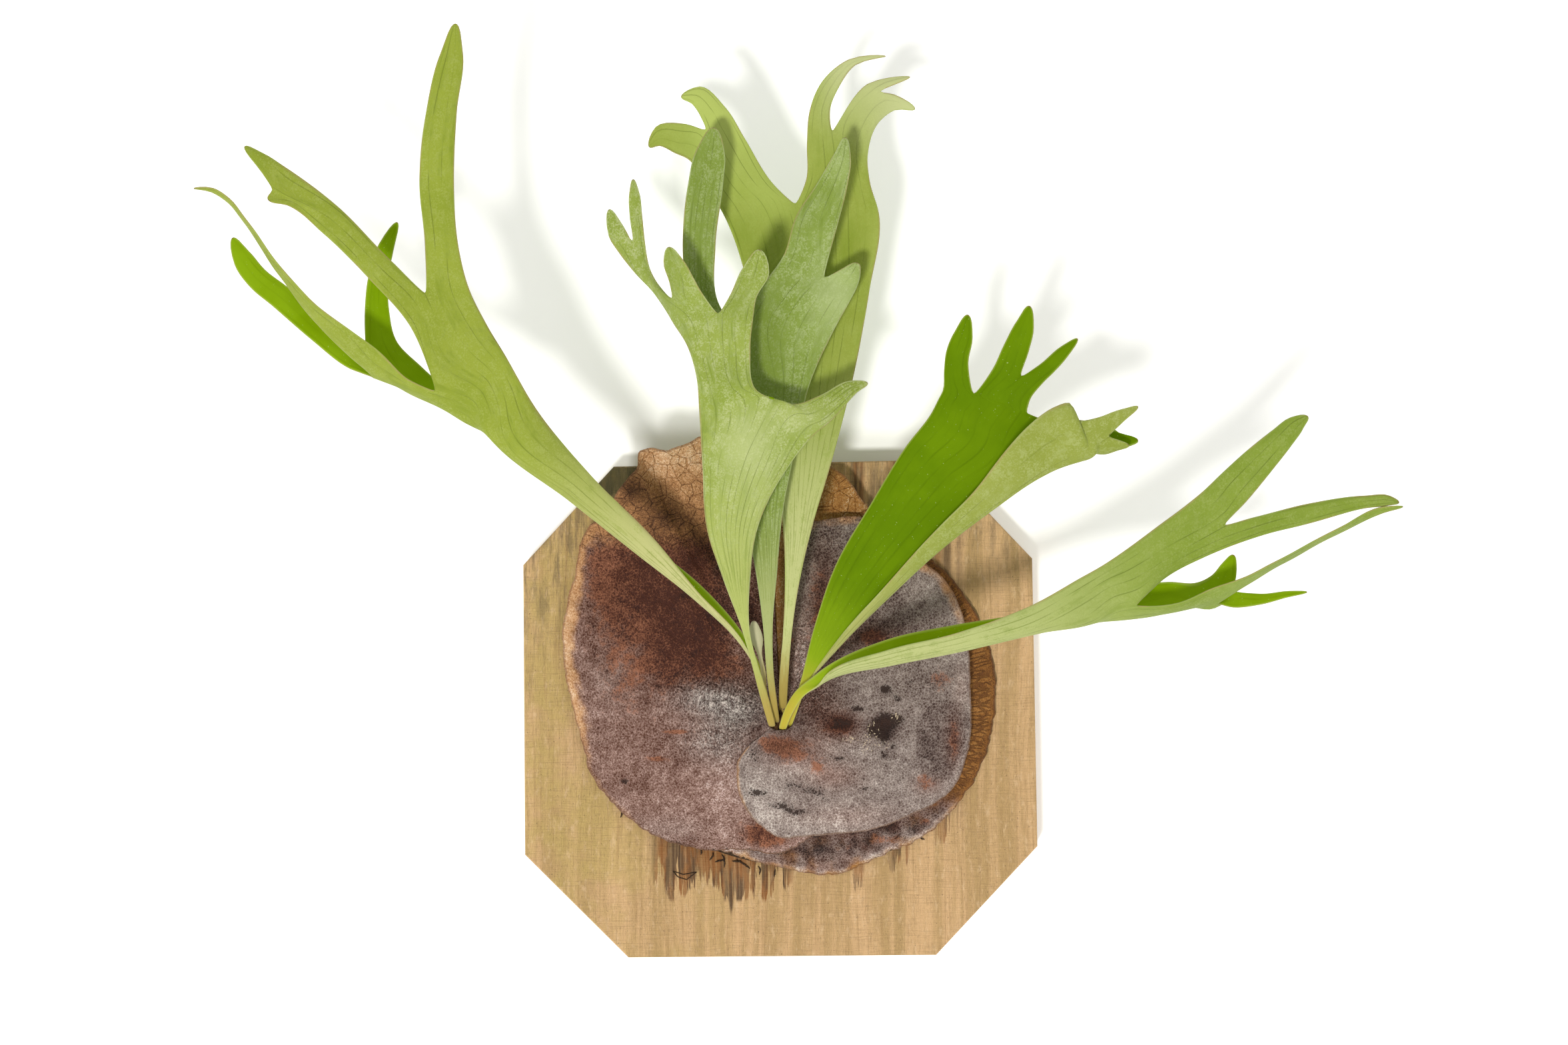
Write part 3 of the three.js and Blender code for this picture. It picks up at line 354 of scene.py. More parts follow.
# Grey-green frond behind it
FROND_CENTRE_MIDDLE = {
    "rows": {
        "": [
            [(-3, -6.5, 35), (-0.9, -6.5, 35)], [(-3.6, -4.3, 43), (-1, -4.3, 43)],
            [(-5, 3, 47), (-1.9, 3, 47)], [(-7.3, 20, 53), (-3.9, 20, 53)],
            [(-9.8, 50, 61), (-4.5, 50, 61)], [(-13.8, 80, 68), (-2, 80, 68)],
            [(-20, 112, 74), (1, 112, 73)], [(-30, 150, 81), (8, 150, 77)],
            [(-40.5, 187, 86), (17, 189, 80)], [(-49, 215.5, 89), (-24, 217.5, 91), (28.7, 215.5, 82)],
        ],
        "l": [
            [(-53.5, 241, 91), (-35.5, 234.5, 92)], [(-55.3, 270, 93), (-37, 266, 94)],
            [(-52.3, 300.5, 96), (-32.5, 302.5, 96)], [(-47, 321.5, 98), (-31.6, 318.5, 98)],
        ],
        "r": [[(-12, 241, 91), (39, 234.5, 84)], [(2.5, 262, 92), (25.2, 248.8, 87), (44.3, 245.2, 86)]],
        "rl": [
            [(9, 282.7, 94), (32.6, 279, 90)], [(21.7, 302.5, 96), (38, 300.5, 94)],
            [(31, 318.5, 98), (39.8, 317, 97)],
        ],
        "rr": [[(33.6, 252.6, 88), (45.6, 250.5, 87)]],
    },
    "tips": {"l": (-37.5, 333, 99), "rl": (37, 327.5, 98), "rr": (43.5, 257, 88)},
}

# Yellow-green frond at the back; its right lobes curl towards the wall
FROND_CENTRE_BACK = {
    "rows": {
        "": [
            [(0, -2, 33), (3, -2, 33)], [(-0.4, 4, 40), (3.4, 4, 40)], [(-0.2, 18, 44.5), (4.2, 18, 44.5)],
            [(1.8, 45, 51), (6.4, 45, 51)], [(2.8, 72, 55), (10, 70, 55)], [(2, 103, 58), (17, 102, 58)],
            [(-4, 145, 60), (29, 143, 60)], [(-12, 190, 62), (41.2, 190, 62)],
            [(-18, 243, 64), (51, 242, 63)], [(-33, 287, 67), (8.5, 292, 66), (56.6, 286, 64)],
        ],
        "l": [[(-43, 303, 70), (-3.5, 302.5, 68)], [(-53, 317.5, 73), (-43, 333.8, 75), (-20.5, 329, 73)]],
        "ll": [[(-60, 320.5, 75), (-54, 336.8, 77)], [(-69, 324.5, 78), (-71, 335, 80)]],
        "lr": [[(-45.5, 341.5, 77), (-31.5, 346.5, 76)], [(-50.5, 348.5, 80), (-46, 358, 79)]],
        "r": [[(14.8, 305, 67), (51, 306, 65)], [(15.5, 326.5, 69), (30, 333.5, 71), (50, 320, 68)]],
        "rl": [
            [(16.8, 344, 71), (28.4, 345, 72)], [(24.5, 362, 74), (33.5, 358.5, 74)],
            [(39, 374, 73), (43, 371.2, 72)],
        ],
        "rr": [[(50, 360, 73), (57.2, 356, 73), (57.2, 339.5, 70)]],
        "rrr": [[(65, 354.3, 71), (65.5, 345.8, 68)]],
    },
    "tips": {
        "ll": (-75.2, 324.5, 79), "lr": (-56.3, 352.8, 81), "rl": (60.3, 376.8, 66),
        "rrl": (74.2, 364.8, 67), "rrr": (77.3, 346.8, 64),
    },
}

# Glossy frond folded along its lower side: a row's right edge is the front half's free margin
FROND_RIGHT_UPPER = {
    "upper_side": 0,
    "rows": {
        "": [
            [(3.9, -8.5, 35), (6.3, -8.5, 35)], [(4.6, -5, 42), (7.6, -5, 42)],
            [(10.8, 13.5, 50.5), (14, 12, 50.5)],
            [(20, 50, 62), (25.6, 47, 63), (31.3, 43.8, 64), (36.6, 41, 66.5), (34.5, 43.8, 70)],
            [(32, 85, 75), (42.2, 79, 75.8), (52.7, 72.8, 77), (62.5, 67, 80.5), (58.8, 71.5, 85.5)],
            [(52, 120, 85), (65, 111.4, 86), (78.3, 102.3, 87.5), (91, 93.6, 91.5), (84.5, 100.5, 97)],
            [(71.5, 152, 91), (87.5, 140.2, 93), (104, 127.8, 96.5), (119.7, 115.9, 102), (110, 127, 109)],
            [(86.5, 172, 95), (107, 160, 98), (128, 147.2, 102), (148.2, 135.4, 109), (131, 154, 118)],
            [(90, 179, 96), (109.5, 170, 99), (132.5, 158.5, 102.5), (156, 139.3, 110),
             (139.3, 162.8, 119.5)],
            [(92.5, 184, 97), (115, 178, 100), (140.3, 170.7, 102), (164, 142.2, 111.5),
             (146.5, 169, 120.5)],
        ],
        "l": [[(93.2, 195.5, 98.5), (109.8, 182.2, 99.7), (141, 177.5, 103)]],
        "ll": [[(94.3, 206, 101), (106.5, 199.5, 102)], [(99.2, 217.5, 104), (108.8, 214, 105)]],
        "lr": [[(120.5, 196, 103), (136.5, 192, 105), (148, 187.5, 106)]],
        "lrl": [[(127, 210, 106), (140.5, 206, 107)], [(134.3, 223.5, 109), (143.2, 219, 110)]],
        "lrr": [[(146.5, 198, 106), (154.5, 194, 107)], [(159.8, 209, 108), (162.3, 202.8, 109)]],
        "r": [
            [(156, 165.3, 103.4), (170.5, 144.1, 112), (155, 174.2, 121.8)],
            [(162.5, 164.7, 103.8), (174.5, 145.3, 112.4), (162.8, 176.3, 122.6)],
            [(169.5, 163, 104.4), (177, 148.6, 110), (178, 148, 115), (173, 157.5, 118.7),
             (168.3, 166.8, 120.5)],
            [(178, 161.5, 105.2), (183, 148, 112), (180, 153.5, 117), (178.6, 160.5, 119.7),
             (178.5, 168, 121)],
            [(189.5, 161.5, 106), (192, 150.6, 112), (185.3, 157.7, 118), (187.5, 163.8, 120),
             (189.5, 172, 121.5)],
        ],
        "rll": [[(191.5, 160, 106.5), (196, 151.8, 109.5)]],
        "rr": [[(193.5, 166.2, 120.5), (194, 173.2, 121.5)]],
    },
    "tips": {
        "ll": (106.3, 226.5, 107), "lrl": (141, 231.3, 111), "lrr": (168.2, 212.8, 109),
        "rll": (202.3, 155.8, 108), "rlr": (196.6, 153, 116), "rr": (201.5, 174, 122),
    },
}

# Longest frond, folded like a gutter and reaching to the right
FROND_RIGHT_LOWER = {
    "upper_side": 0,
    "rows": {
        "": [
            [(-0.3, -10, 36), (3, -10, 36)], [(-0.2, -8.5, 44.5), (3.4, -9.3, 44.5)],
            [(3.2, 2, 52), (6.8, -1.2, 52.5)], [(10.5, 13.5, 59), (14, 10, 60)],
            [(17.5, 19.2, 61.5), (20.4, 15, 64), (21, 14.8, 66.4)],
            [(25.5, 25.5, 65), (28, 19.3, 69), (26.5, 22, 73)],
            [(59.5, 41.5, 76), (63, 27.8, 86), (61, 36.5, 94)],
            [(99, 50.5, 86), (103, 36.2, 99), (101, 46.8, 108)],
            [(143, 58, 95), (148, 47, 110), (142, 62.5, 122)],
            [(174, 66, 101), (177.7, 53, 109.5), (177.7, 53.2, 117.5), (174, 66, 125), (170, 78.6, 130)],
            [(188, 70, 102), (191, 54, 112), (190, 60.5, 121.5), (184.5, 73.5, 129), (180.5, 84.6, 132.5)],
            [(199, 73, 103), (205, 55.6, 113), (200.3, 62.5, 127), (196, 78, 132), (189.8, 90.8, 135)],
        ],
        "l": [
            [(219.9, 75.3, 103), (221.5, 59, 113), (223, 63.6, 129)],
            [(237, 75.2, 104), (245.5, 61, 110), (246.7, 63.3, 116), (246, 67.5, 124), (243, 72.1, 132)],
        ],
        "ll": [[(245, 79.5, 104), (257, 70.5, 106), (256, 61.2, 111)]],
        "lll": [[(251, 86.4, 104), (258.4, 82.5, 105)]],
        "llr": [[(272.5, 68.6, 105), (271.5, 62.7, 108)], [(288.5, 70.2, 104), (286.5, 66.6, 105)]],
        "lr": [
            [(259.8, 72.1, 120), (256.4, 76.8, 134)], [(288.4, 89.5, 131), (284.8, 91.2, 142)],
            [(317.9, 105.8, 141), (314.1, 107.6, 148)], [(337.1, 114.6, 147), (336.5, 117.9, 150)],
        ],
        "r": [
            [(213.5, 76, 129), (216, 90, 136), (210, 105.8, 139)],
            [(238.5, 90, 133), (249, 108, 138), (236.5, 126.4, 142)],
        ],
        "rl": [
            [(268.4, 101.4, 136), (265.1, 111.8, 139)], [(297.7, 109.2, 142), (295.7, 119.6, 143)],
            [(327.1, 117.2, 147), (327.1, 124, 148)], [(339.5, 118.7, 149), (340, 123.9, 149)],
        ],
        "rr": [
            [(260.9, 121, 141), (246.6, 136.1, 143)], [(273.6, 137, 145), (261.2, 149.6, 147)],
            [(285.7, 153, 149), (275.2, 160.8, 149)], [(291.6, 162, 151), (284.4, 167.5, 151)],
        ],
    },
    "tips": {
        "lll": (256.9, 90.6, 104), "llr": (298.5, 69.6, 103), "lr": (347, 117.9, 152),
        "rl": (345, 120.3, 150), "rr": (293.7, 168.4, 152),
    },
}

# Small new frond, still furled
FROND_YOUNG = {
    "stalk": 1.8,
    "fold": 0.12,
    "rows": {
        "": [
            [(-3.6, -1.5, 34), (-1.8, -1.5, 34)], [(-5.9, 2.6, 43.1), (-4.3, 2.6, 43.1)],
            [(-9.4, 8, 48.3), (-7.6, 8, 48.3)], [(-10.8, 22, 52), (-8.5, 22, 52)],
            [(-13.2, 34, 54.5), (-10.8, 34, 54.5)], [(-17, 42, 56), (-10.2, 42.5, 56)],
            [(-17.6, 48, 57.5), (-11.8, 48, 57.5)],
        ],
    },
    "tips": {"": (-15.2, 52.5, 58.5)},
}

def slope_at(a, b, c):
    """Slope of a smooth curve at b, on its way from a to c, per millimetre."""
    before, after = max(length(b - a), 1e-3), max(length(c - b), 1e-3)
    return ((b - a) * (after / before) + (c - b) * (before / after)) / (before + after)


def hermite(p0, v0, p1, v1, t):
    """Points at t on curves from p0 to p1 that leave and arrive with the slopes v0 and v1."""
    reach = lengths(p1 - p0)
    return (p0 * (1 + 2 * t) * (1 - t) ** 2 + v0 * reach * t * (1 - t) ** 2
            + p1 * t * t * (3 - 2 * t) - v1 * reach * t * t * (1 - t))


def read_row(points, u):
    """Points at each u (0 to 1) on the smooth curve through three or five points of a row."""
    last = len(points) - 1
    slopes = [None] * (last + 1)
    for k in range(1, last):
        slopes[k] = slope_at(points[k - 1], points[k], points[k + 1])
    for k, beside, sign in ((0, 1, 2), (last, last - 1, -2)):
        chord = points[beside] - points[k]
        slopes[k] = chord * sign / max(length(chord), 1e-3) - slopes[beside]
    slopes = np.array(slopes)
    u = np.asarray(u, float)
    i = np.minimum((u * last).astype(int), last - 1)
    return hermite(points[i], slopes[i], points[i + 1], slopes[i + 1], (u * last - i)[:, None])


def rails_of(row, fold):
    """A row's five rails in space, from its two, three or five points."""
    points = np.array([place(point) for point in row])
    if len(points) == 5:
        return points
    if len(points) == 2:
        middle = points.mean(0)
        middle[1] -= fold * length(points[1] - points[0])
        points = np.array([points[0], middle, points[1]])
    return read_row(points, [0, 0.25, 0.5, 0.75, 1])


def width_of(row):
    return float(lengths(np.diff(row, axis=0)).sum())


class Blade:
    """Middle surface of a frond, grown branch by branch, with the facts its materials need."""

    def __init__(self, frond):
        fold = frond.get("fold", FOLD)
        self.tips = {way: place(tip) for way, tip in frond["tips"].items()}
        self.rows = {way: [rails_of(row, fold) for row in rows] for way, rows in frond["rows"].items()}
        self.points, self.faces, self.facts = [], [], []
        first = self.rows[""].pop(0)
        slopes = np.array([(b - a) / max(length(b - a), TINY) for a, b in zip(first, self.rows[""][0])])
        ids = self.add_row(first, LEAST_COLUMNS, 0, (0, 1), FAR)
        self.grow("", first, slopes, ids, 0, (0, 1))

    def add_row(self, row, count, along, lane, to_tip):
        """Adds a row of points. Facts: place across the whole blade, distance from the bud, blade width
        per unit of the first, distance to the free edge, distance to the tip."""
        u = np.linspace(0, 1, count + 1)
        width = width_of(row)
        start = len(self.points)
        self.points.extend(read_row(row, u))
        for at in u:
            across = lane[0] + at * (lane[1] - lane[0])
            edge = min(at, 1 - at) * width
            self.facts.append((across, along, width / (lane[1] - lane[0]), edge, to_tip))
        return list(range(start, start + count + 1))

    def stitch(self, lower, upper):
        """Joins two rows; the upper has as many columns as the lower, twice as many, or is a tip."""
        for i in range(len(lower) - 1):
            a, b = lower[i], lower[i + 1]
            if len(upper) == 1:
                self.faces.append([a, b, upper[0]])
            elif len(upper) > len(lower):
                c, d, e = upper[2 * i:2 * i + 3]
                self.faces.extend([[a, d, c], [a, b, d], [b, e, d]])
            else:
                self.faces.append([a, b, upper[i + 1], upper[i]])

    def first_point(self, way, rail):
        """First point of a branch along a rail beyond the row it starts from; none at a sinus."""
        if self.rows.get(way):
            return self.rows[way][0][rail]
        if way in self.tips:
            return self.tips[way]
        return None if rail == 2 else self.first_point(way + "lr"[rail // 4], rail)

    def after_fork(self, way, rail):
        """Where a strip's rail goes on beyond its fork."""
        branch, its_rail = [("l", 0), ("l", 2), (None, None), ("r", 2), ("r", 4)][rail]
        return self.first_point(way + branch, its_rail) if branch else None

    def slopes_of(self, way, stations):
        """Slopes along the five rails at each row of a strip after the first."""
        every = []
        for i in range(1, len(stations)):
            slopes = []
            for rail in range(5):
                before, here = stations[i - 1][rail], stations[i][rail]
                if i + 1 < len(stations):
                    after = stations[i + 1][rail]
                elif way in self.tips:
                    after = self.tips[way]
                else:
                    after = self.after_fork(way, rail)
                if after is None:
                    slopes.append((here - before) / max(length(here - before), TINY))
                else:
                    slopes.append(slope_at(before, here, after))
            every.append(np.array(slopes))
        return every

    def grow(self, way, row, slopes, ids, along, lane):
        """Grows one strip on from a row, its slopes and its vertices, then the branches beyond it."""
        stations = [row] + self.rows.get(way, [])
        every = [slopes] + self.slopes_of(way, stations)
        ends = way in self.tips
        if ends:
            last, tip = stations[-1], self.tips[way]
            inward = (last[4] - last[0]) * TIP_ROUND
            away = np.maximum(lengths(last - tip)[:, 0], 1e-3)
            every.append(np.array([inward * (1 - rail / 2) / away[rail] for rail in range(5)]))
            stations.append(np.array([tip] * 5))
        spans = [float(lengths(b - a).max()) for a, b in zip(stations, stations[1:])]
        for k, span in enumerate(spans):
            to_tip = ends and k == len(spans) - 1
            steps = max(round(span / ROW_STEP), 6 if to_tip else 2)
            for j in range(1, steps + 1):
                t = 1 - (1 - j / steps) ** 2 if to_tip else j / steps
                here = hermite(stations[k], every[k], stations[k + 1], every[k + 1], t)
                left = sum(spans[k:]) - t * span if ends else FAR
                columns = len(ids) - 1
                if to_tip and j == steps:
                    upper = self.add_row(here, 1, along + span, lane, 0)[:1]
                else:
                    few = columns < max(LEAST_COLUMNS, width_of(here) / COLUMN_WIDTH)
                    count = 2 * columns if few else columns
                    upper = self.add_row(here, count, along + t * span, lane, left)
                self.stitch(ids, upper)
                ids = upper
            along += span
        if not ends:
            self.split(way, stations[-1], every[-1], ids, along, lane)

    def split(self, way, row, slopes, ids, along, lane):
        """Starts both branches of a fork; their inner edges leave the sinus sideways."""
        half = (len(ids) - 1) // 2
        middle = sum(lane) / 2
        chord = (row[4] - row[0]) / max(length(row[4] - row[0]), TINY)
        sides = (("l", 0, 4, -1.5, ids[:half + 1], (lane[0], middle)),
                 ("r", 1, 0, 1.5, ids[half:], (middle, lane[1])))
        for branch, number, inner, turn, its_ids, its_lane in sides:
            u = (number + np.arange(5) / 4) / 2
            at = np.minimum((u * 4).astype(int), 3)
            part = (u * 4 - at)[:, None]
            its_slopes = slopes[at] * (1 - part) + slopes[at + 1] * part
            away = length(self.first_point(way + branch, inner) - row[2])
            its_slopes[inner] = chord * (turn * NOTCH / away)
            self.grow(way + branch, read_row(row, u), its_slopes, its_ids, along, its_lane)


def frond_piece(name, frond, under, upper):
    """A frond's blade as a thin closed solid with an underside and an upper side."""
    blade = Blade(frond)
    used = sorted({k for face in blade.faces for k in face})
    number = {k: i for i, k in enumerate(used)}
    faces = [[number[k] for k in face] for face in blade.faces]
    points = np.array(blade.points)[used]
    facts = np.array(blade.facts)[used]
    _, along, _, edge, to_tip = facts.T
    # Felt patches from the table; the grey-green frond's darker patch among them is painted shadow
    felt = blobs(points[:, 0], points[:, 2], FELT_AND_SHADOW_PATCHES.get(name, []))
    normals, _ = corner_normals(points, faces)
    wave = np.array([fuzz(x / 17, z / 17, y / 17, len(name)) for x, y, z in points])
    margin = smooth(9, 1, edge) * smooth(70, 110, along) * smooth(0, 12, to_tip)
    points = points + normals * (RIPPLE * wave * margin)[:, None]
    stalk = frond.get("stalk", STALK_THICK)
    thickness = stalk + (BLADE_THICK - stalk) * smooth(12, STALK_LENGTH, along)
    thickness *= 0.6 + 0.4 * smooth(0, 3, edge)
    solid, shell, source, sides = thicken(points, faces, thickness)
    attributes = [("leaf_place", facts[source][:, :3]),
                  ("leaf_edge", np.column_stack([edge, to_tip, felt])[source])]
    upper_side = frond.get("upper_side", 1)
    face_materials = [int(side == upper_side) for side in sides]
    settle(mesh_object(name, solid, shell, [under, upper], attributes, face_materials), name)


# ---------------------------------------------------------------- root ball and shields

def round_bud(angle, radius):
    """x and z at angles and radii round the bud."""
    turn = np.radians(angle)
    return BUD[0] + radius * np.cos(turn), BUD[1] + radius * np.sin(turn)


def points_round_bud(angle, radius, depth):
    x, z = round_bud(angle, radius)
    return np.column_stack([x, -(BOARD_THICK + depth * np.ones_like(x)), z])


def read_round(pairs, angle):
    """A curve of (angle, value) pairs from -180 to 180, read at each angle."""
    return np.array([read_curve(pairs, (a + 180) % 360 - 180) for a in angle])


def dome_depth(angle, radius):
    """Height of the root ball's dome over the board, with a groove where the stalks rise."""
    share = np.minimum(radius / read_round(DOME_REACH, angle), 1)
    turn = np.radians(angle - GROOVE["angle"])
    aside = radius * np.sin(turn) / GROOVE["width"]
    fade = smooth(12, 25, radius) * (1 - smooth(0.4 * GROOVE["reach"], GROOVE["reach"], radius))
    groove = np.where(np.cos(turn) > 0, GROOVE["deep"] * np.exp(-aside * aside) * fade, 0)
    return np.maximum(DOME_HEIGHT * (1 - share ** DOME_POWER) - groove, 0)


class Skin:
    """The points of a shield's sheet, and the noises and spots that its relief and tones are made of."""

    def __init__(self, angle, radius, rim):
        self.angle, self.radius, self.rim = angle, radius, rim
        self.x, self.z = round_bud(angle, radius)

    def spots(self, table):
        """Each row of a table of soft spots, summed at the points."""
        return {key: blobs(self.x, self.z, some) for key, some in table.items()}

    def wrinkles(self, across, along, seed):
        """Noise drawn out towards or round the bud, from -1 to 1."""
        return np.array([fuzz(a * across, r * along, 0, seed) for a, r in zip(self.angle, self.radius)])

    def clumps(self, size, seed):
        """Noise with lumps of the given size in millimetres, from -1 to 1."""
        return np.array([fuzz(x / size, z / size, 0, seed) for x, z in zip(self.x, self.z)])

    def slanting(self, size, seed):
        """Such lumps, drawn out down to the right."""
        slant = zip(self.x - 0.5 * self.z, 0.6 * self.z)
        return np.array([fuzz(a / size, b / size, 0, seed) for a, b in slant])


# What a tone function may say of a shield, by the attribute that carries it to the material: light is how
# thick its felt is, with spots of painted shadow and painted highlight in it, grey how grey, tan how papery,
# and the rest are marks and how the skin shines; where it shines, the material paints its creases darker and
# the skin between them lighter
TONES = {
    "shield_tone": ("light", "grey", "tan"),
    "shield_mark": ("dark", "rust", "pale"),
    "shield_skin": ("shine", "wet", "ribs"),
}

# Spots of relief and tone: x, z, half width, half height, strength
LEFT_RELIEF = {
    "ridge": [(-40, 9, 20, 7, 1), (-22, 4, 12, 6, 0.8), (-42, -16, 18, 6, 0.45)],
    "hollow": [(-34, -4, 22, 4, 0.9), (-26, 22, 14, 9, 1.2)],
}
# Among the left shield's light spots, the lighter ones on the ridge left of the bud, at (-42, 9), (-46, 6)
# and (-26, 2), are painted highlight, and the darker ones at (-88, 128), (-66, 112) and (-46, 88) are
# painted shadow of the fronds that cross above it, as is the dark spot at (-49, 92)
LEFT_TONES = {
    "light": [
        (-72, 62, 30, 32, -0.36), (-40, 44, 24, 34, -0.34), (-54, 26, 18, 14, -0.16),
        (-104, 0, 12, 40, 0.08), (-42, 9, 14, 5, 0.26), (-46, 6, 18, 14, 0.16), (-26, 2, 15, 9, 0.2),
        (-34, -16, 18, 11, 0.14), (-30, -46, 18, 14, 0.26), (-12, -32, 8, 14, 0.2),
        (-10, -72, 13, 7, -0.34), (-16, 56, 9, 22, -0.2), (-26, 36, 5, 12, 0.22), (-84, 92, 22, 16, -0.12),
        (-66, 112, 20, 12, -0.3), (-46, 88, 12, 14, -0.2), (-50, 148, 30, 13, 0.27),
        (-72, 142, 10, 9, 0.17), (-60, -80, 30, 7, -0.1), (-86, 36, 10, 16, 0.1), (-88, 128, 8, 8, -0.35),
        (-52, 120, 10, 12, 0.1), (-74, -4, 20, 12, 0.04), (-42, -30, 12, 8, 0.1),
    ],
    "painted_crease_light": [(-40, 9, 20, 7, 1), (-22, 4, 12, 6, 0.8), (-40, -16, 20, 8, 0.5)],
    "grey": [
        (-42, 6, 20, 9, 0.9), (-24, -2, 16, 10, 0.9), (-36, -20, 18, 12, 0.55), (-98, 20, 10, 16, 0.3),
        (-64, -70, 20, 8, 0.3), (-6, 10, 10, 16, 0.5),
    ],
    "dark": [(-91, -42, 2.4, 1.8, 1), (-57, -76, 14, 4, 0.3), (-49, 92, 14, 12, 0.35)],
    "rust": [
        (-72, 50, 30, 34, 0.9), (-26, 24, 6, 8, 0.5), (-70, 88, 40, 28, 0.9), (-98, 74, 8, 22, 0.7),
        (-42, 32, 18, 18, 0.5), (-92, 10, 14, 24, 0.25),
    ],
    "scratched": [(-60, -12.6, 9, 1.3, 1), (-71, -28.6, 7, 1.6, 0.9), (-8, -72, 14, 8, 1)],
    "shine": [(-40, 8, 22, 9, 1), (-24, 0, 16, 12, 1), (-38, -18, 20, 10, 0.8)],
}
RIGHT_RELIEF = {
    "fold": [(13, 34, 5, 16, 1), (14, 12, 6, 10, 0.8)],
    "bulge": [(6, -24, 15, 7, 1.5), (22, 52, 5, 16, 0.8)],
    "pit": [(61, -11, 7, 5, 1), (35, -9, 9, 5, 0.6), (88, -18, 8, 20, 0.9), (12, -59, 16, 3, 0.5)],
}
# The lighter light spot at (13, 30), on the fold beside the glossy frond's stalk, is painted highlight
RIGHT_TONES = {
    "light": [
        (16, 2, 16, 12, -0.2), (2, -22, 14, 9, -0.1), (35, -9, 11, 7, -0.44), (61, -11, 8, 7, -0.5),
        (-12, -54, 12, 18, 0.18), (16, -34, 12, 5, 0.24), (34, -64, 22, 8, 0.12), (2, -64, 14, 8, 0.1),
        (62, 50, 34, 20, -0.12), (50, 70, 16, 14, -0.16), (84, 70, 12, 12, 0.16), (98, 34, 10, 14, 0.1),
        (54, 42, 9, 6, -0.2), (-5, 40, 12, 24, -0.28), (13, 30, 5, 20, 0.36), (106, 10, 7, 12, 0.2),
        (106, 58, 8, 22, 0.18), (26, 56, 9, 34, -0.26), (22, 92, 14, 14, -0.1), (74, 40, 16, 6, -0.1),
    ],
    "painted_crease_light": [(13, 30, 6, 22, 1)],
    "bare": [
        (8, -22, 20, 11, 1), (30, -38, 16, 8, 0.75), (35, -9, 12, 8, 0.9), (40, -62, 30, 8, 0.45),
        (14, 26, 12, 26, 0.7), (54, 42, 16, 9, 0.7), (101, -18, 5, 16, 0.8), (86, -44, 9, 6, 0.6),
        (106, 14, 5, 12, 0.4), (-5, 40, 14, 26, 0.9), (26, 60, 10, 34, 0.8), (18, 2, 16, 10, 0.7),
    ],
    "dark": [
        (60, -6, 6, 5, 1.1), (60, -14, 4.5, 5, 1), (68, -6, 4, 4, 0.9), (53, -12, 4, 4, 0.7),
        (36, -8, 11, 6, 0.78), (61, 12, 3.4, 3, 1), (68, 7, 3, 2.4, 0.7), (45, 1, 4.4, 2.2, 0.8),
        (60, -26, 3, 2.6, 0.8), (34, -28, 6, 2, 0.6), (-1, -55, 8, 2.6, 0.7), (10, -59, 8, 2.4, 0.8),
        (-14, -48, 7, 2.4, 0.8), (20, -47, 7, 2.4, 0.6), (49, -46, 4, 2.4, 0.6), (-14, -26, 6, 8, 0.6),
        (82, 2, 5, 3, 0.3), (14, 8, 7, 7, 0.35), (8, -44, 12, 5, 0.45), (26, -52, 5, 3, 0.5),
        (66, -22, 3, 3, 0.6), (74, 16, 3, 2, 0.6), (22, 30, 4, 16, 0.5), (46, 30, 8, 6, 0.45),
    ],
    "rust": [
        (35, -9, 11, 7, 0.75), (93, 17, 8, 6, 0.62), (-4, -19, 10, 6, 0.85), (22, -34, 7, 6, 0.6),
        (61, -8, 6, 5, 0.6), (53, 43, 9, 5, 0.9), (2, 48, 9, 22, 0.5), (84, -42, 6, 5, 0.6),
        (8, -24, 12, 7, 0.6), (24, 62, 8, 30, 0.5), (101, -16, 3.5, 14, 0.6), (30, 44, 8, 12, 0.6),
    ],
    "pale": [
        (54, -12, 4, 6, 0.9), (50, -20, 4, 6, 0.9), (40, -17, 7, 2.4, 0.7), (67, -4, 4, 4, 0.8),
        (60, -20, 5, 3, 0.7),
    ],
    "shine": [(13, 28, 6, 24, 1), (18, 4, 12, 10, 0.8), (4, -22, 14, 8, 0.4)],
    "wet": [(96, -8, 16, 15, 1), (91, -30, 12, 15, 0.9)],
}
# Painted shade: the oldest shield is darkened just below the right shield's lower rim, where that rim shades
# it
OLD_PAINTED_SHADE = {
    "light": [(10, -80, 18, 8, -0.16), (50, -66, 30, 8, -0.1)],
}


def relief_left(at):
    spots = at.spots(LEFT_RELIEF)
    left_rim = smooth(24, 3, at.rim) * smooth(135, 150, at.angle) * smooth(250, 215, at.angle)
    crimps = 1.1 * at.wrinkles(0.30, 0.02, 1) + 0.5 * at.wrinkles(0.8, 0.05, 2)
    creases = 2.4 + 0.9 * at.wrinkles(0.20, 0.13, 3) + 0.5 * at.wrinkles(0.5, 0.2, 31)
    lumps = 0.8 * at.clumps(26, 4) * smooth(12, 40, at.radius) + 0.3 * at.clumps(8, 41)
    return left_rim * crimps + spots["ridge"] * creases - spots["hollow"] + lumps * smooth(0, 14, at.rim)


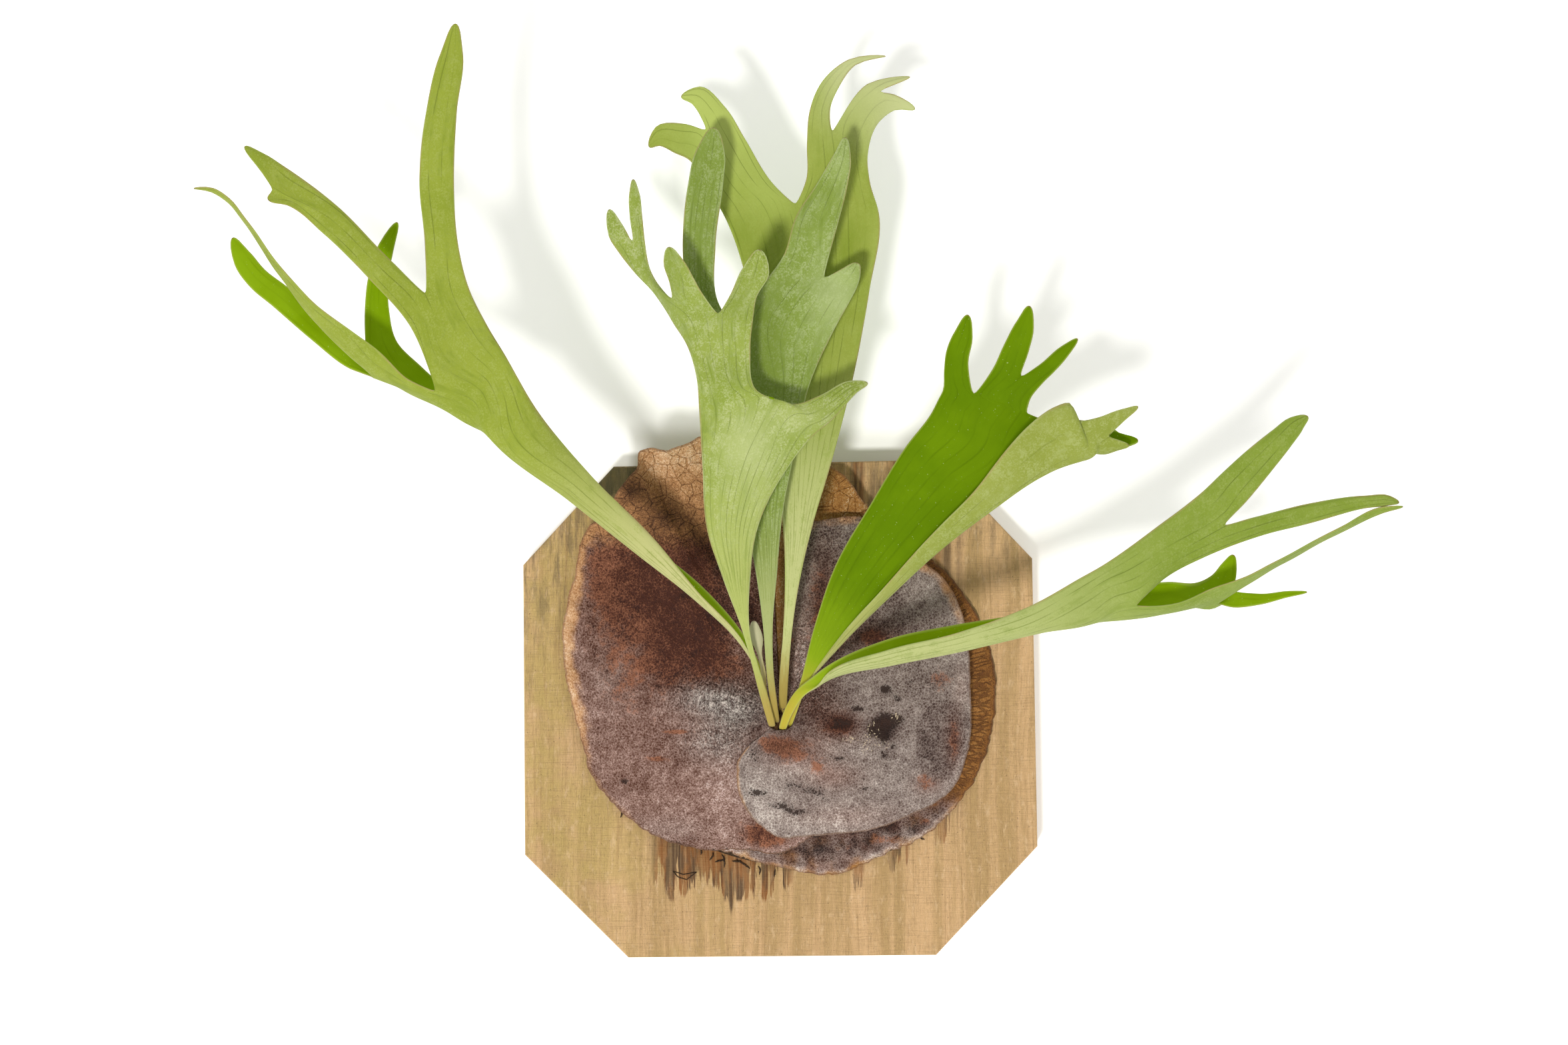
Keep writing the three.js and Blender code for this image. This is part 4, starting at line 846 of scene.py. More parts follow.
def tone_left(at):
    spots = at.spots(LEFT_TONES)
    papery_rim = smooth(13, 3, at.rim) * smooth(134, 150, at.angle) * smooth(196, 172, at.angle)
    papery_rim *= 0.85 + 0.6 * at.clumps(8, 44)
    light = 0.46 + 0.07 * at.clumps(14, 5) + 0.12 * smooth(-40, -70, at.z) + spots["light"]
    # Painted highlight and shade on the ridge: lighter on the crests of its creases and darker in their
    # troughs, after the same noise as the relief
    light += 0.24 * spots["painted_crease_light"] * at.wrinkles(0.20, 0.13, 3)
    light += 0.26 * papery_rim + 0.08 * smooth(5, 1, at.rim)
    light -= 0.10 * at.slanting(7, 43) * smooth(0, 30, at.z) * smooth(110, 90, at.z)
    low_rim = 0.4 * smooth(6, 1, at.rim) * smooth(250, 196, at.angle)
    return {
        "light": light,
        "grey": spots["grey"],
        "tan": smooth(84, 114, at.z) + 0.9 * papery_rim + low_rim,
        "dark": spots["dark"] + 0.45 * smooth(3, 0.5, at.rim) * smooth(215, 235, at.angle),
        "rust": spots["rust"] * (0.95 + 0.7 * at.slanting(9, 42)) + spots["scratched"],
        "shine": spots["shine"],
    }


def relief_right(at):
    spots = at.spots(RIGHT_RELIEF)
    creases = 2.4 + at.wrinkles(0.35, 0.16, 6)
    lumps = 0.9 * at.clumps(22, 7) * smooth(12, 36, at.radius) + 0.3 * at.clumps(7, 71)
    curl = 0.9 * smooth(8, 1, at.rim) * smooth(-60, -110, at.angle)
    return spots["fold"] * creases + spots["bulge"] - spots["pit"] + lumps * smooth(0, 12, at.rim) + curl


def tone_right(at):
    spots = at.spots(RIGHT_TONES)
    light = 0.58 - 0.10 * smooth(-25, 15, at.z) + 0.06 * at.clumps(12, 8) + spots["light"]
    # Painted highlight and shade on the fold: lighter on the crests of its creases and darker in their
    # troughs, after the same noise as the relief
    light += 0.24 * spots["painted_crease_light"] * at.wrinkles(0.35, 0.16, 6)
    papery_top = smooth(9, 2, at.rim) * smooth(22, 34, at.angle) * (0.7 + 0.5 * at.clumps(9, 81))
    return {
        "light": light,
        "grey": 1 - spots["bare"],
        "tan": 0.55 * smooth(4, 0.5, at.rim) * smooth(-85, -120, at.angle) + 0.8 * papery_top,
        **{key: spots[key] for key in ("dark", "rust", "pale", "shine", "wet")},
    }


def relief_old(at):
    ribs = at.wrinkles(0.55, 0.015, 9) + 0.5 * at.wrinkles(1.3, 0.03, 91)
    right = smooth(24, 4, at.rim) * smooth(-75, -50, at.angle) * smooth(50, 35, at.angle)
    low = smooth(20, 3, at.rim) * smooth(-130, -110, at.angle) * smooth(-45, -65, at.angle)
    return right * ribs + low * (1.5 * at.clumps(5, 10) + 0.8 * ribs)


def tone_old(at):
    low = smooth(-14, -34, at.angle) * smooth(-160, -140, at.angle)
    top = smooth(48, 60, at.angle)
    right = (1 - low) * (1 - top)
    light = 0.50 + 0.22 * top + at.spots(OLD_PAINTED_SHADE)["light"]
    light += low * (0.30 * at.clumps(6, 11) - 0.02)
    light += low * (0.30 * smooth(5, 1, at.rim) - 0.16 * smooth(5, 14, at.rim))
    light += 0.10 * at.wrinkles(0.9, 0.03, 92) * smooth(30, 8, at.rim) * (1 - low)
    light -= 0.16 * right * smooth(3.5, 1.0, at.rim)
    rusty = smooth(0.1, 0.6, at.clumps(10, 95))
    return {
        "light": light,
        "grey": low * (0.6 + 0.6 * at.clumps(10, 93)),
        "tan": 1 - low * (0.75 + 0.5 * at.clumps(9, 96)) + 0.3 * low * smooth(3.5, 0.5, at.rim),
        "dark": low * (0.30 + 0.5 * at.clumps(7, 94)) * smooth(1, 6, at.rim),
        "rust": 0.6 * low * rusty + 0.7 * right * smooth(4, 2, at.rim),
        "ribs": smooth(-34, -18, at.angle) * smooth(56, 46, at.angle) * smooth(1.5, 4, at.rim),
    }


# Each shield: its rim as angle and radius, the rise of the rim over the dome, how far it is drawn back at
# the bud, how ragged and how waved its rim is, and the columns and rings of its mesh
SHIELD_OLD = {
    "layer": FIRST_LAYER,
    "rim": [
        (-236, 118), (-210, 100), (-180, 104), (-150, 92), (-120, 84), (-92, 86), (-78, 93), (-70, 97),
        (-60, 98), (-50, 101), (-40, 108), (-28, 114), (-15, 120), (0, 125), (15, 129), (27, 130),
        (40, 129.5), (47, 128), (54, 120), (62, 130), (69, 136), (76, 148), (84, 152), (98, 140),
    ],
    "lift": [(-236, 0), (50, 0), (62, 7), (72, 12), (98, 12)],
    "open": 1.6, "ragged": 1.6, "wave": 1.2, "waves": 9, "columns": 380, "rings": 52,
    "relief": relief_old, "tone": tone_old,
}
SHIELD_LEFT = {
    "layer": FIRST_LAYER + LAYER_STEP,
    "rim": [
        (93, 151), (98, 160), (105.6, 171), (108, 169.5), (111.5, 170), (113, 170.2), (115.4, 175.3),
        (117.8, 175.5), (119.2, 169), (121.8, 166), (126, 162.5), (129, 157), (136, 158), (144, 148),
        (151, 142), (157, 138), (166, 130), (176, 122), (186, 117), (197, 115), (208, 109), (220, 102),
        (236, 91), (254, 79), (270, 78), (285, 70), (302, 60),
    ],
    "lift": [(93, 26), (100, 34), (112, 40), (124, 34), (136, 12), (150, 3), (180, 1.5), (302, 0)],
    "open": 0, "ragged": 0.9, "wave": 1.6, "waves": 10, "columns": 420, "rings": 84,
    "relief": relief_left, "tone": tone_left,
}
SHIELD_RIGHT = {
    "layer": FIRST_LAYER + 2 * LAYER_STEP,
    "rim": [
        (-141, 25), (-136, 34.5), (-130, 39), (-120, 48), (-110, 56), (-99, 63), (-90, 68.5), (-80, 69),
        (-66, 72.5), (-48, 84.5), (-36, 94), (-22, 108), (-8, 111), (8, 112), (22, 118), (28, 121.5),
        (33, 124), (40, 126), (47, 124.5), (56, 124), (68, 127), (78, 119), (86, 113),
    ],
    "lift": [(-141, 1.5), (-60, 2), (0, 2), (40, 4), (60, 10), (75, 13), (86, 13)],
    "open": 0, "ragged": 0.5, "wave": 1, "waves": 9, "columns": 360, "rings": 72,
    "relief": relief_right, "tone": tone_right,
}


def shield_piece(name, shield, material):
    """A shield frond over the dome, from the hole round the bud to its ragged, waved rim."""
    rim, rings, layer = shield["rim"], shield["rings"], shield["layer"]
    first, last = rim[0][0], rim[-1][0]
    turns = np.arange(first, last + TINY, (last - first) / shield["columns"])
    seed = len(name)
    ragged = np.array([fuzz(a * 0.35, 0, 0, seed) + 0.6 * fuzz(a * 0.9, 3, 0, seed) for a in turns])
    edge = np.array([read_curve(rim, a) for a in turns]) + shield["ragged"] * ragged
    rise = np.array([read_curve(shield["lift"], a) for a in turns])
    row = rings + 1
    angle, edge, rise = (np.repeat(values, row) for values in (turns, edge, rise))
    part = np.tile((np.arange(row) / rings) ** 0.85, len(turns))
    collar = read_round(COLLAR, angle) + shield["open"]
    radius = collar + (edge - collar) * part
    to_rim = edge - radius
    skin = Skin(angle, radius, to_rim)
    wave = shield["wave"] * np.sin(np.radians(angle * shield["waves"])) ** 2 * part ** 4
    depth = dome_depth(angle, radius) + layer + rise * part ** 3 + wave
    lip = COLLAR_TOP + 0.5 * (layer - FIRST_LAYER - LAYER_STEP) - shield["open"]
    depth += smooth(14, 7.5, radius) * np.maximum(lip - depth, 0)
    depth += shield["relief"](skin) * smooth(9, 16, radius)
    faces = [[a, a + 1, a + row + 1, a + row]
             for i in range(len(turns) - 1) for a in range(i * row, i * row + rings)]
    thickness = SHEET * (0.5 + 0.4 * smooth(0, 4, to_rim))
    solid, shell, source, _ = thicken(points_round_bud(angle, radius, depth), faces, thickness, 0.3)
    tone = shield["tone"](skin)
    attributes = []
    for attribute, keys in TONES.items():
        columns = [np.clip(tone.get(key, np.zeros_like(radius)), 0, 1)[source] for key in keys]
        attributes.append((attribute, np.column_stack(columns)))
    attributes.append(("shield_place", np.column_stack([angle, radius, to_rim])[source]))
    settle(mesh_object(name, solid, shell, [material], attributes), name)


def root_ball_piece(material):
    """The pad of roots and moss under the shields, its surface fibrous, down to the board."""
    turns, rings, foot_depth = 160, 44, 0.25
    inside, sunk, fibres = 0.955, 0.7, 1.8
    around = np.arange(turns) * 360 / turns - 180
    angle = np.repeat(around, rings)
    reach = read_round(DOME_REACH, angle)
    radius = inside * reach * np.tile((np.arange(rings) + 1) / rings, turns)
    lumps = np.array([abs(fuzz(a * 0.09, r * 0.22, 0, 12)) + 0.6 * abs(fuzz(a * 0.35, r * 0.35, 0, 13))
                      for a, r in zip(angle, radius)])
    depth = np.maximum(dome_depth(angle, radius) - sunk - fibres * lumps, foot_depth)
    centre = points_round_bud(np.zeros(2), np.zeros(2), np.array([DOME_HEIGHT - 2, foot_depth]))
    points = np.vstack([points_round_bud(angle, radius, depth),
                        points_round_bud(around, (inside - 0.005) * reach[::rings], foot_depth), centre])
    top, low = len(points) - 2, len(points) - 1
    faces = []
    for i in range(turns):
        k = (i + 1) % turns
        faces.append([top, i * rings, k * rings])
        for j in range(rings - 1):
            a, b = i * rings + j, k * rings + j
            faces.append([a, a + 1, b + 1, b])
        foot, next_foot = turns * rings + i, turns * rings + k
        faces.append([i * rings + rings - 1, foot, next_foot, k * rings + rings - 1])
        faces.append([foot, low, next_foot])
    settle(mesh_object("root_ball", points, faces, [material]), "root_ball")


def tube_faces(rows, sides):
    """Faces of a closed tube: rows of points round its length, wound outwards."""
    faces = []
    for i in range(rows - 1):
        for k in range(sides):
            a, b = i * sides + k, i * sides + (k + 1) % sides
            faces.append([a, b, b + sides, a + sides])
    faces.append(list(range(sides))[::-1])
    faces.append([(rows - 1) * sides + k for k in range(sides)])
    return faces


def tube(path, radius, sides, taper):
    """Points and faces of a closed tube along a path, narrowing towards both ends."""
    path = np.asarray(path, float)
    points = []
    count = len(path)
    for i, centre in enumerate(path):
        ahead = path[min(i + 1, count - 1)] - path[max(i - 1, 0)]
        ahead /= max(length(ahead), TINY)
        side = np.cross(ahead, [0.13, 0.2, 0.97])
        side /= max(length(side), TINY)
        other = np.cross(ahead, side)
        end = min(i, count - 1 - i) / max((count - 1) / 2, 1)
        size = radius * (taper + (1 - taper) * min(1, 2 * end))
        for k in range(sides):
            turn = 2 * math.pi * k / sides
            points.append(centre + size * (math.cos(turn) * side + math.sin(turn) * other))
    return points, tube_faces(count, sides)


def joined(parts):
    """Several (points, faces) as one."""
    points, faces = [], []
    for some_points, some_faces in parts:
        shift = len(points)
        points.extend(some_points)
        faces.extend([[k + shift for k in face] for face in some_faces])
    return points, faces


def stem_neck():
    """Points and faces of the lumpy knob that the stalks leave."""
    profile = [(0.5, 14), (7.6, 16), (7.4, 24), (6.9, 30), (6.4, 33), (5.4, 35.4), (3.2, 36.6), (0.5, 37)]
    sides = 40
    points = []
    for radius, depth in profile:
        for k in range(sides):
            turn = 2 * math.pi * k / sides
            size = radius * (1 + 0.07 * fuzz(3 * math.cos(turn), 3 * math.sin(turn), depth / 3))
            points.append(place((BUD[0] + size * math.cos(turn), BUD[1] + size * math.sin(turn), depth)))
    return points, [face[::-1] for face in tube_faces(len(profile), sides)]


def rhizome_piece(material):
    """The stem's neck at the bud, thatched with narrow brown scales."""
    random = np.random.default_rng(5)
    scales, reach, depth, slump, thick = 170, 6.2, 36.4, 3.4, 0.32
    parts = [stem_neck()]
    for _ in range(scales):
        turn = random.uniform(0, 2 * math.pi)
        out = random.uniform(0.25, 1)
        long = random.uniform(3, 6)
        lean = random.uniform(0.2, 0.9)
        cos, sin = math.cos(turn), math.sin(turn)
        foot = place((BUD[0] + reach * out * cos, BUD[1] + reach * out * sin, depth - slump * out ** 3))
        ahead = np.array([lean * cos, -1, lean * sin])
        curl = np.array([cos, 0.6, sin])
        steps = np.linspace(0, 1, 5) * long
        path = [foot + ahead * (0.55 * s) + curl * (0.35 * s * s / long) for s in steps]
        parts.append(tube(path, thick, 4, 0.2))
    settle(mesh_object("rhizome", *joined(parts), [material]), "rhizome")


def root_bits_piece(material):
    """Dark root ends that creep out from under the shields over the board."""
    random = np.random.default_rng(11)
    steps, thick, rise, wander = 9, 0.5, 0.5, 0.35
    parts = []
    for angle, radius, long, bend in ROOT_BITS:
        here = np.array(round_bud(angle, radius))
        heading = math.radians(angle) + bend
        path = []
        for s in np.linspace(0, 1, steps):
            heading += random.uniform(-wander, wander)
            here = here + long / (steps - 1) * np.array([math.cos(heading), math.sin(heading)])
            path.append(place((*here, ON_BOARD + rise * math.sin(math.pi * s))))
        parts.append(tube(path, thick, 6, 0.35))
    settle(mesh_object("root_bits", *joined(parts), [material]))


def root_scrap_piece(material):
    """A thin split scrap of root lying on the board below the shields."""
    thick = 0.32
    parts = [tube([place((x, z, ON_BOARD)) for x, z in strand], thick, 5, 0.7) for strand in SCRAP]
    settle(mesh_object("root_scrap", *joined(parts), [material]))


# ---------------------------------------------------------------- materials

class Value:
    """A node's output, with the arithmetic that turns it and others into more nodes."""

    def __init__(self, shade, socket):
        self.shade, self.socket = shade, socket

    def __add__(self, other):
        return self.shade.math("ADD", self, other)

    def __sub__(self, other):
        return self.shade.math("SUBTRACT", self, other)

    def __mul__(self, other):
        return self.shade.math("MULTIPLY", self, other)

    def __abs__(self):
        return self.shade.math("ABSOLUTE", self)


class Shade:
    """Builds one material's nodes. Numbers, colours and values all serve as inputs."""

    def __init__(self, name):
        self.material = bpy.data.materials.new(name)
        self.material.use_nodes = True
        self.tree = self.material.node_tree
        self.surface = self.tree.nodes["Principled BSDF"]

    def node(self, kind, inputs, out=0, **settings):
        made = self.tree.nodes.new(kind)
        for key, value in settings.items():
            setattr(made, key, value)
        for key, value in inputs.items():
            self.feed(made.inputs[key], value)
        return Value(self, made.outputs[out])

    def feed(self, socket, value):
        if isinstance(value, Value):
            self.tree.links.new(value.socket, socket)
        elif isinstance(value, tuple) and socket.type == "RGBA":
            socket.default_value = (*value, 1)
        else:
            socket.default_value = value

    def math(self, kind, a, b=0.0):
        return self.node("ShaderNodeMath", {0: a, 1: b}, operation=kind)

    def least(self, a, b):
        return self.math("MINIMUM", a, b)

    def most(self, a, b):
        return self.math("MAXIMUM", a, b)

    def step(self, low, high, value):
        """Smooth step of value from 0 at low to 1 at high; high may be the smaller."""
        ends = (low, high, 0.0, 1.0) if high > low else (high, low, 1.0, 0.0)
        return self.node("ShaderNodeMapRange", {0: value, 1: ends[0], 2: ends[1], 3: ends[2], 4: ends[3]},
                         interpolation_type="SMOOTHSTEP")

    def mix(self, share, a, b):
        return self.node("ShaderNodeMix", {"Factor": share, 6: a, 7: b}, out=2, data_type="RGBA")

    def coats(self, colour, layers):
        """Colour under coats, each (value, low, high, share, paint): a coat covers up to its share of what
        is below it, where its value has passed from low to high."""
        for value, low, high, share, paint in layers:
            colour = self.mix(self.step(low, high, value) * share, colour, paint)
        return colour

    def ramp(self, value, stops):
        """Colour along a scale of (position, colour) stops."""
        made = self.tree.nodes.new("ShaderNodeValToRGB")
        self.feed(made.inputs[0], value)
        scale = made.color_ramp.elements
        for number, (at, colour) in enumerate(stops):
            stop = scale[number] if number < 2 else scale.new(at)
            stop.position = at
            stop.color = (*colour, 1)
        return Value(self, made.outputs[0])

    def vector(self, x, y, z=0.0):
        return self.node("ShaderNodeCombineXYZ", {0: x, 1: y, 2: z})

    def shifted(self, vector, by):
        return self.node("ShaderNodeVectorMath", {0: vector, 1: by}, operation="ADD")

    def noise(self, vector, scale, detail=2.0, rough=0.5, twist=0.0, out=0):
        return self.node("ShaderNodeTexNoise", {"Vector": vector, "Scale": scale, "Detail": detail,
                                                "Roughness": rough, "Distortion": twist}, out=out)

    def streaked(self, across, along, detail, rough, seed=0.0):
        """Noise over two values, scaled unlike each other beforehand so that it runs in streaks."""
        return self.noise(self.vector(across, along, seed), 1.0, detail, rough)

    def cracks(self, vector, scale):
        """Distance to the nearest cell edge of an uneven net."""
        return self.node("ShaderNodeTexVoronoi", {"Vector": vector, "Scale": scale},
                         feature="DISTANCE_TO_EDGE")

    def parts(self, vector):
        made = self.node("ShaderNodeSeparateXYZ", {0: vector}).socket.node
        return [Value(self, output) for output in made.outputs]

    def fact(self, name):
        """The three numbers of one of the mesh's attributes."""
        return self.parts(self.node("ShaderNodeAttribute", {}, out=1, attribute_name=name))

    def place(self):
        """The point in millimetres."""
        coordinates = self.node("ShaderNodeTexCoord", {}, out=3)
        return self.node("ShaderNodeVectorMath", {0: coordinates, "Scale": 1 / MM}, operation="SCALE")

    def bump(self, height, deep, before=None):
        """Relief from a height, deep millimetres from 0 to 1, over the relief before it."""
        inputs = {"Height": height, "Distance": deep * MM, "Strength": 1.0}
        if before:
            inputs["Normal"] = before
        return self.node("ShaderNodeBump", inputs)

    def finish(self, colour, rough, relief=None, **constants):
        self.feed(self.surface.inputs["Base Color"], colour)
        self.feed(self.surface.inputs["Roughness"], rough)
        if relief:
            self.feed(self.surface.inputs["Normal"], relief)
        for key, value in constants.items():
            self.surface.inputs[key.replace("_", " ")].default_value = value
        return self.material


def scaled(colour, share):
    return tuple(part * share for part in colour)


TIP_BROWN, RIM_BROWN = (0.15, 0.07, 0.03), (0.36, 0.29, 0.11)
UNDER_FOOT, UPPER_FOOT = (0.36, 0.27, 0.060), (0.33, 0.27, 0.035)
UPPER_STALK, UPPER_RIM, PALE_SPECK = (0.23, 0.33, 0.012), (0.30, 0.36, 0.07), (0.42, 0.50, 0.20)
LEAF_GLOW = 0.35                    # painted light: the upper sides glow with their own colour in place of light that comes through a blade onto its darker side
# Greens of the upper sides: UPPER_LIT is a lighter copy, painted light for the fronds whose upper sides lie
# in shade; UPPER_SHADED is the plain darker green, used on the glossy frond on the right
UPPER_SHADED = {"blade": (0.100, 0.178, 0.001), "deep": (0.080, 0.150, 0.0005)}
UPPER_LIT = {"blade": (0.165, 0.265, 0.004), "deep": (0.140, 0.230, 0.001)}
UNDERSIDE = {                       # what every underside has unless its own row says otherwise
    "pale_end": None, "pale_from": 260.0, "stalk": (0.40, 0.41, 0.13), "stalk_to": 150.0,
}
UNDERSIDES = {
    "frond_left": {
        "blade": (0.262, 0.320, 0.032), "deep": (0.190, 0.250, 0.012), "felt": (0.34, 0.39, 0.09),
        "felted": 0.6, "rubbed": 0.75, "vein": 0.5, "stalk": (0.47, 0.465, 0.20), "stalk_to": 250.0,
    },
    "frond_centre_front": {
        "blade": (0.275, 0.345, 0.060), "deep": (0.185, 0.255, 0.024), "felt": (0.44, 0.490, 0.22),
        "felted": 0.9, "rubbed": 0.85, "vein": 0.38, "stalk": (0.37, 0.415, 0.115), "stalk_to": 190.0,
    },
    "frond_centre_middle": {
        "blade": (0.230, 0.310, 0.060), "deep": (0.150, 0.220, 0.016), "felt": (0.37, 0.440, 0.19),
        "felted": 0.9, "rubbed": 0.75, "vein": 0.35, "stalk": (0.36, 0.40, 0.15),
    },
    "frond_centre_back": {
        "blade": (0.275, 0.330, 0.050), "deep": (0.190, 0.260, 0.010), "felt": (0.36, 0.430, 0.10),
        "felted": 0.35, "rubbed": 0.45, "vein": 0.4, "stalk": (0.50, 0.53, 0.22), "stalk_to": 230.0,
        "pale_end": (0.48, 0.52, 0.23), "pale_from": 325.0,
    },
    "frond_right_upper": {
        "blade": (0.275, 0.320, 0.058), "deep": (0.205, 0.255, 0.024), "felt": (0.38, 0.42, 0.15),
        "felted": 0.7, "rubbed": 0.4, "vein": 0.2,
    },
    "frond_right_lower": {
        "blade": (0.205, 0.280, 0.032), "deep": (0.150, 0.222, 0.013), "felt": (0.28, 0.345, 0.085),
        "felted": 0.6, "rubbed": 0.5, "vein": 0.55, "stalk": (0.40, 0.435, 0.17), "stalk_to": 300.0,
    },
    "frond_young": {
        "blade": (0.56, 0.52, 0.34), "deep": (0.42, 0.42, 0.24), "felt": (0.66, 0.61, 0.46),
        "felted": 0.7, "rubbed": 0.2, "vein": 0.0, "stalk": (0.48, 0.46, 0.28),
    },
}
# More felt (over 0) or less (under 0): x, z, half width, half height, strength. The darker patch at (-8,
# 215) on the grey-green frond is painted shadow of the broad frond in front
FELT_AND_SHADOW_PATCHES = {
    "frond_centre_front": [
        (-18, 152, 16, 20, 0.55), (-10, 105, 22, 30, 0.3), (10, 168, 16, 8, 0.3), (-27, 236, 12, 18, -0.45),
        (-62, 250, 8, 24, -0.45), (-30, 190, 14, 12, -0.2), (14, 186, 18, 6, -0.35),
    ],
    "frond_centre_middle": [
        (-46, 295, 12, 60, -0.35), (32, 240, 15, 24, 0.6), (-8, 215, 12, 34, -0.6), (12, 285, 12, 26, -0.3),
        (34, 318, 8, 18, 0.3),
    ],
    "frond_centre_back": [
        (-34, 335, 24, 34, 1), (-66, 365, 30, 18, 1.2), (-2, 300, 18, 22, 0.6), (60, 250, 9, 50, 0.3),
    ],
}


def veins(s, across, along, lane, wide, seed):
    """Fine lines that run out along the blade and double in number as it widens."""
    wander = s.streaked(across * 4.0, along * 0.008, 1.0, 0.5, seed)
    lines = []
    for count in (11, 22):
        turn = s.math("FRACT", across * count + wander * 0.8)
        lines.append(s.step(wide, 0.1, abs(turn - 0.5) * (1 / count) * lane))
    both = s.most(lines[0], lines[1] * s.step(60.0, 120.0, lane) * 0.4)
    fade = s.streaked(across * 30.0, along * 0.03, 2.0, 0.5, seed)
    return both * s.step(0.35, 0.62, fade) * s.step(5.0, 18.0, lane)


def leaf_under(name, look, seed):
    """Felted underside: matt, mottled, rubbed greener in streaks, brown at its foot and tips."""
    look = {**UNDERSIDE, **look}
    deep, felt = look["deep"], look["felt"]
    s = Shade(name)
    across, along, lane = s.fact("leaf_place")
    edge, to_tip, felt_and_shadow_patch = s.fact("leaf_edge")
    spot = s.place()
    streaks = s.streaked(across * 13.0, along * 0.022, 4.0, 0.65, seed)
    clouds = s.noise(spot, 0.030, 3.0, 0.6)
    blotch = s.noise(spot, 0.16, 4.0, 0.65)
    grain = s.noise(spot, 0.95, 3.0, 0.75)
    line = veins(s, across, along, lane, 0.36, seed)
    worn = streaks + (blotch - 0.5) * 0.55 + (grain - 0.5) * 0.5
    colour = s.coats(look["blade"], [
        (clouds, 0.68, 0.34, 0.5, deep),
        ((blotch - 0.5) * 0.7 + grain, 0.42, 0.70, look["felted"], felt),
        (worn, 0.52, 0.72, look["rubbed"], deep),
    ])
    # Patches under 0 darken the colour, one of them as painted shadow, and patches over 0 add felt
    colour = s.mix(felt_and_shadow_patch * -1.0, colour, scaled(deep, 0.85))
    colour = s.mix(felt_and_shadow_patch, colour, scaled(felt, 1.1))
    colour = s.mix(line * look["vein"], colour, scaled(deep, 0.6))
    if look["pale_end"]:
        x, _, _ = s.parts(spot)
        tips = s.step(look["pale_from"], look["pale_from"] + 90.0, along) * s.step(5.0, 40.0, x)
        colour = s.mix(tips, colour, look["pale_end"])
    stalk = s.coats(look["stalk"], [(worn, 0.50, 0.66, 0.35, deep)])
    stalk = s.mix(line * 0.5, stalk, deep)
    ragged = s.streaked(across * 9.0, along * 0.15, 2.0, 0.5, seed)
    rim = s.mix(s.step(0.45, 0.55, clouds), felt, RIM_BROWN)
    colour = s.coats(colour, [
        (along, look["stalk_to"], 0.4 * look["stalk_to"], 1.0, stalk),
        (along + ragged * 20.0, 66.0, 26.0, 1.0, UNDER_FOOT),
        (edge, 0.8, 0.15, s.step(40.0, 90.0, along) * 0.55, rim),
        (to_tip + s.noise(spot, 0.35, 2.0) * 1.5, 3.4, 0.4, 0.8, TIP_BROWN),
    ])
    relief = s.bump(line * -0.5 + streaks * 0.5, 0.30)
    relief = s.bump(grain, 0.22, relief)
    return s.finish(colour, 0.8, relief, Sheen_Weight=0.06, Sheen_Roughness=0.5, Specular_IOR_Level=0.25)


def leaf_upper(name, look, seed):
    """Upper side: smooth saturated green with darker lines and a few pale scales."""
    deep = look["deep"]
    s = Shade(name)
    across, along, lane = s.fact("leaf_place")
    edge, to_tip, _ = s.fact("leaf_edge")
    spot = s.place()
    clouds = s.noise(spot, 0.03, 3.0, 0.6)
    streaks = s.streaked(across * 9.0, along * 0.012, 3.0, 0.6, seed)
    line = veins(s, across, along, lane, 0.9, seed)
    colour = s.coats(deep, [
        (clouds, 0.35, 0.7, 1.0, look["blade"]),
        (streaks, 0.42, 0.75, 0.35, scaled(deep, 0.8)),
    ])
    colour = s.coats(s.mix(line * 0.30, colour, scaled(deep, 0.55)), [
        (s.noise(spot, 1.15, 1.0, 0.4), 0.75, 0.79, 0.5, PALE_SPECK),
        (along, 120.0, 25.0, 0.7, UPPER_STALK),
        (along, 56.0, 20.0, 1.0, UPPER_FOOT),
        (edge, 0.9, 0.2, 0.4, UPPER_RIM),
        (to_tip, 3.0, 0.4, 0.8, TIP_BROWN),
    ])
    relief = s.bump(line * -0.3 + streaks * 0.4, 0.22)
    # Painted light: the upper side glows with its own colour, in place of light that comes through the blade
    s.feed(s.surface.inputs["Emission Color"], colour)
    return s.finish(colour, 0.6, relief, Specular_IOR_Level=0.02, Emission_Strength=LEAF_GLOW)


MAUVE_SCALE = [                     # felt over a red-brown leaf, from the bare leaf to thick felt
    (0.00, (0.026, 0.006, 0.003)), (0.22, (0.078, 0.025, 0.012)), (0.45, (0.170, 0.092, 0.070)),
    (0.62, (0.250, 0.152, 0.124)), (0.80, (0.365, 0.240, 0.198)), (1.00, (0.57, 0.44, 0.40)),
]
GREY_SCALE = [                      # the same, under older, greyer felt
    (0.00, (0.014, 0.006, 0.004)), (0.22, (0.072, 0.042, 0.035)), (0.45, (0.180, 0.136, 0.118)),
    (0.62, (0.265, 0.213, 0.188)), (0.80, (0.370, 0.310, 0.275)), (1.00, (0.60, 0.53, 0.47)),
]
TAN_SCALE = [                       # dry and papery
    (0.00, (0.070, 0.027, 0.010)), (0.30, (0.235, 0.105, 0.040)), (0.55, (0.430, 0.215, 0.090)),
    (0.78, (0.610, 0.370, 0.200)), (1.00, (0.80, 0.60, 0.42)),
]
ORANGE_SCALE = [                    # the oldest shield's leathery rim
    (0.00, (0.045, 0.017, 0.004)), (0.30, (0.150, 0.056, 0.011)), (0.52, (0.275, 0.115, 0.026)),
    (0.76, (0.400, 0.200, 0.062)), (1.00, (0.64, 0.46, 0.29)),
]
RUST_DARK, RUST_LIGHT = (0.050, 0.011, 0.004), (0.31, 0.115, 0.055)
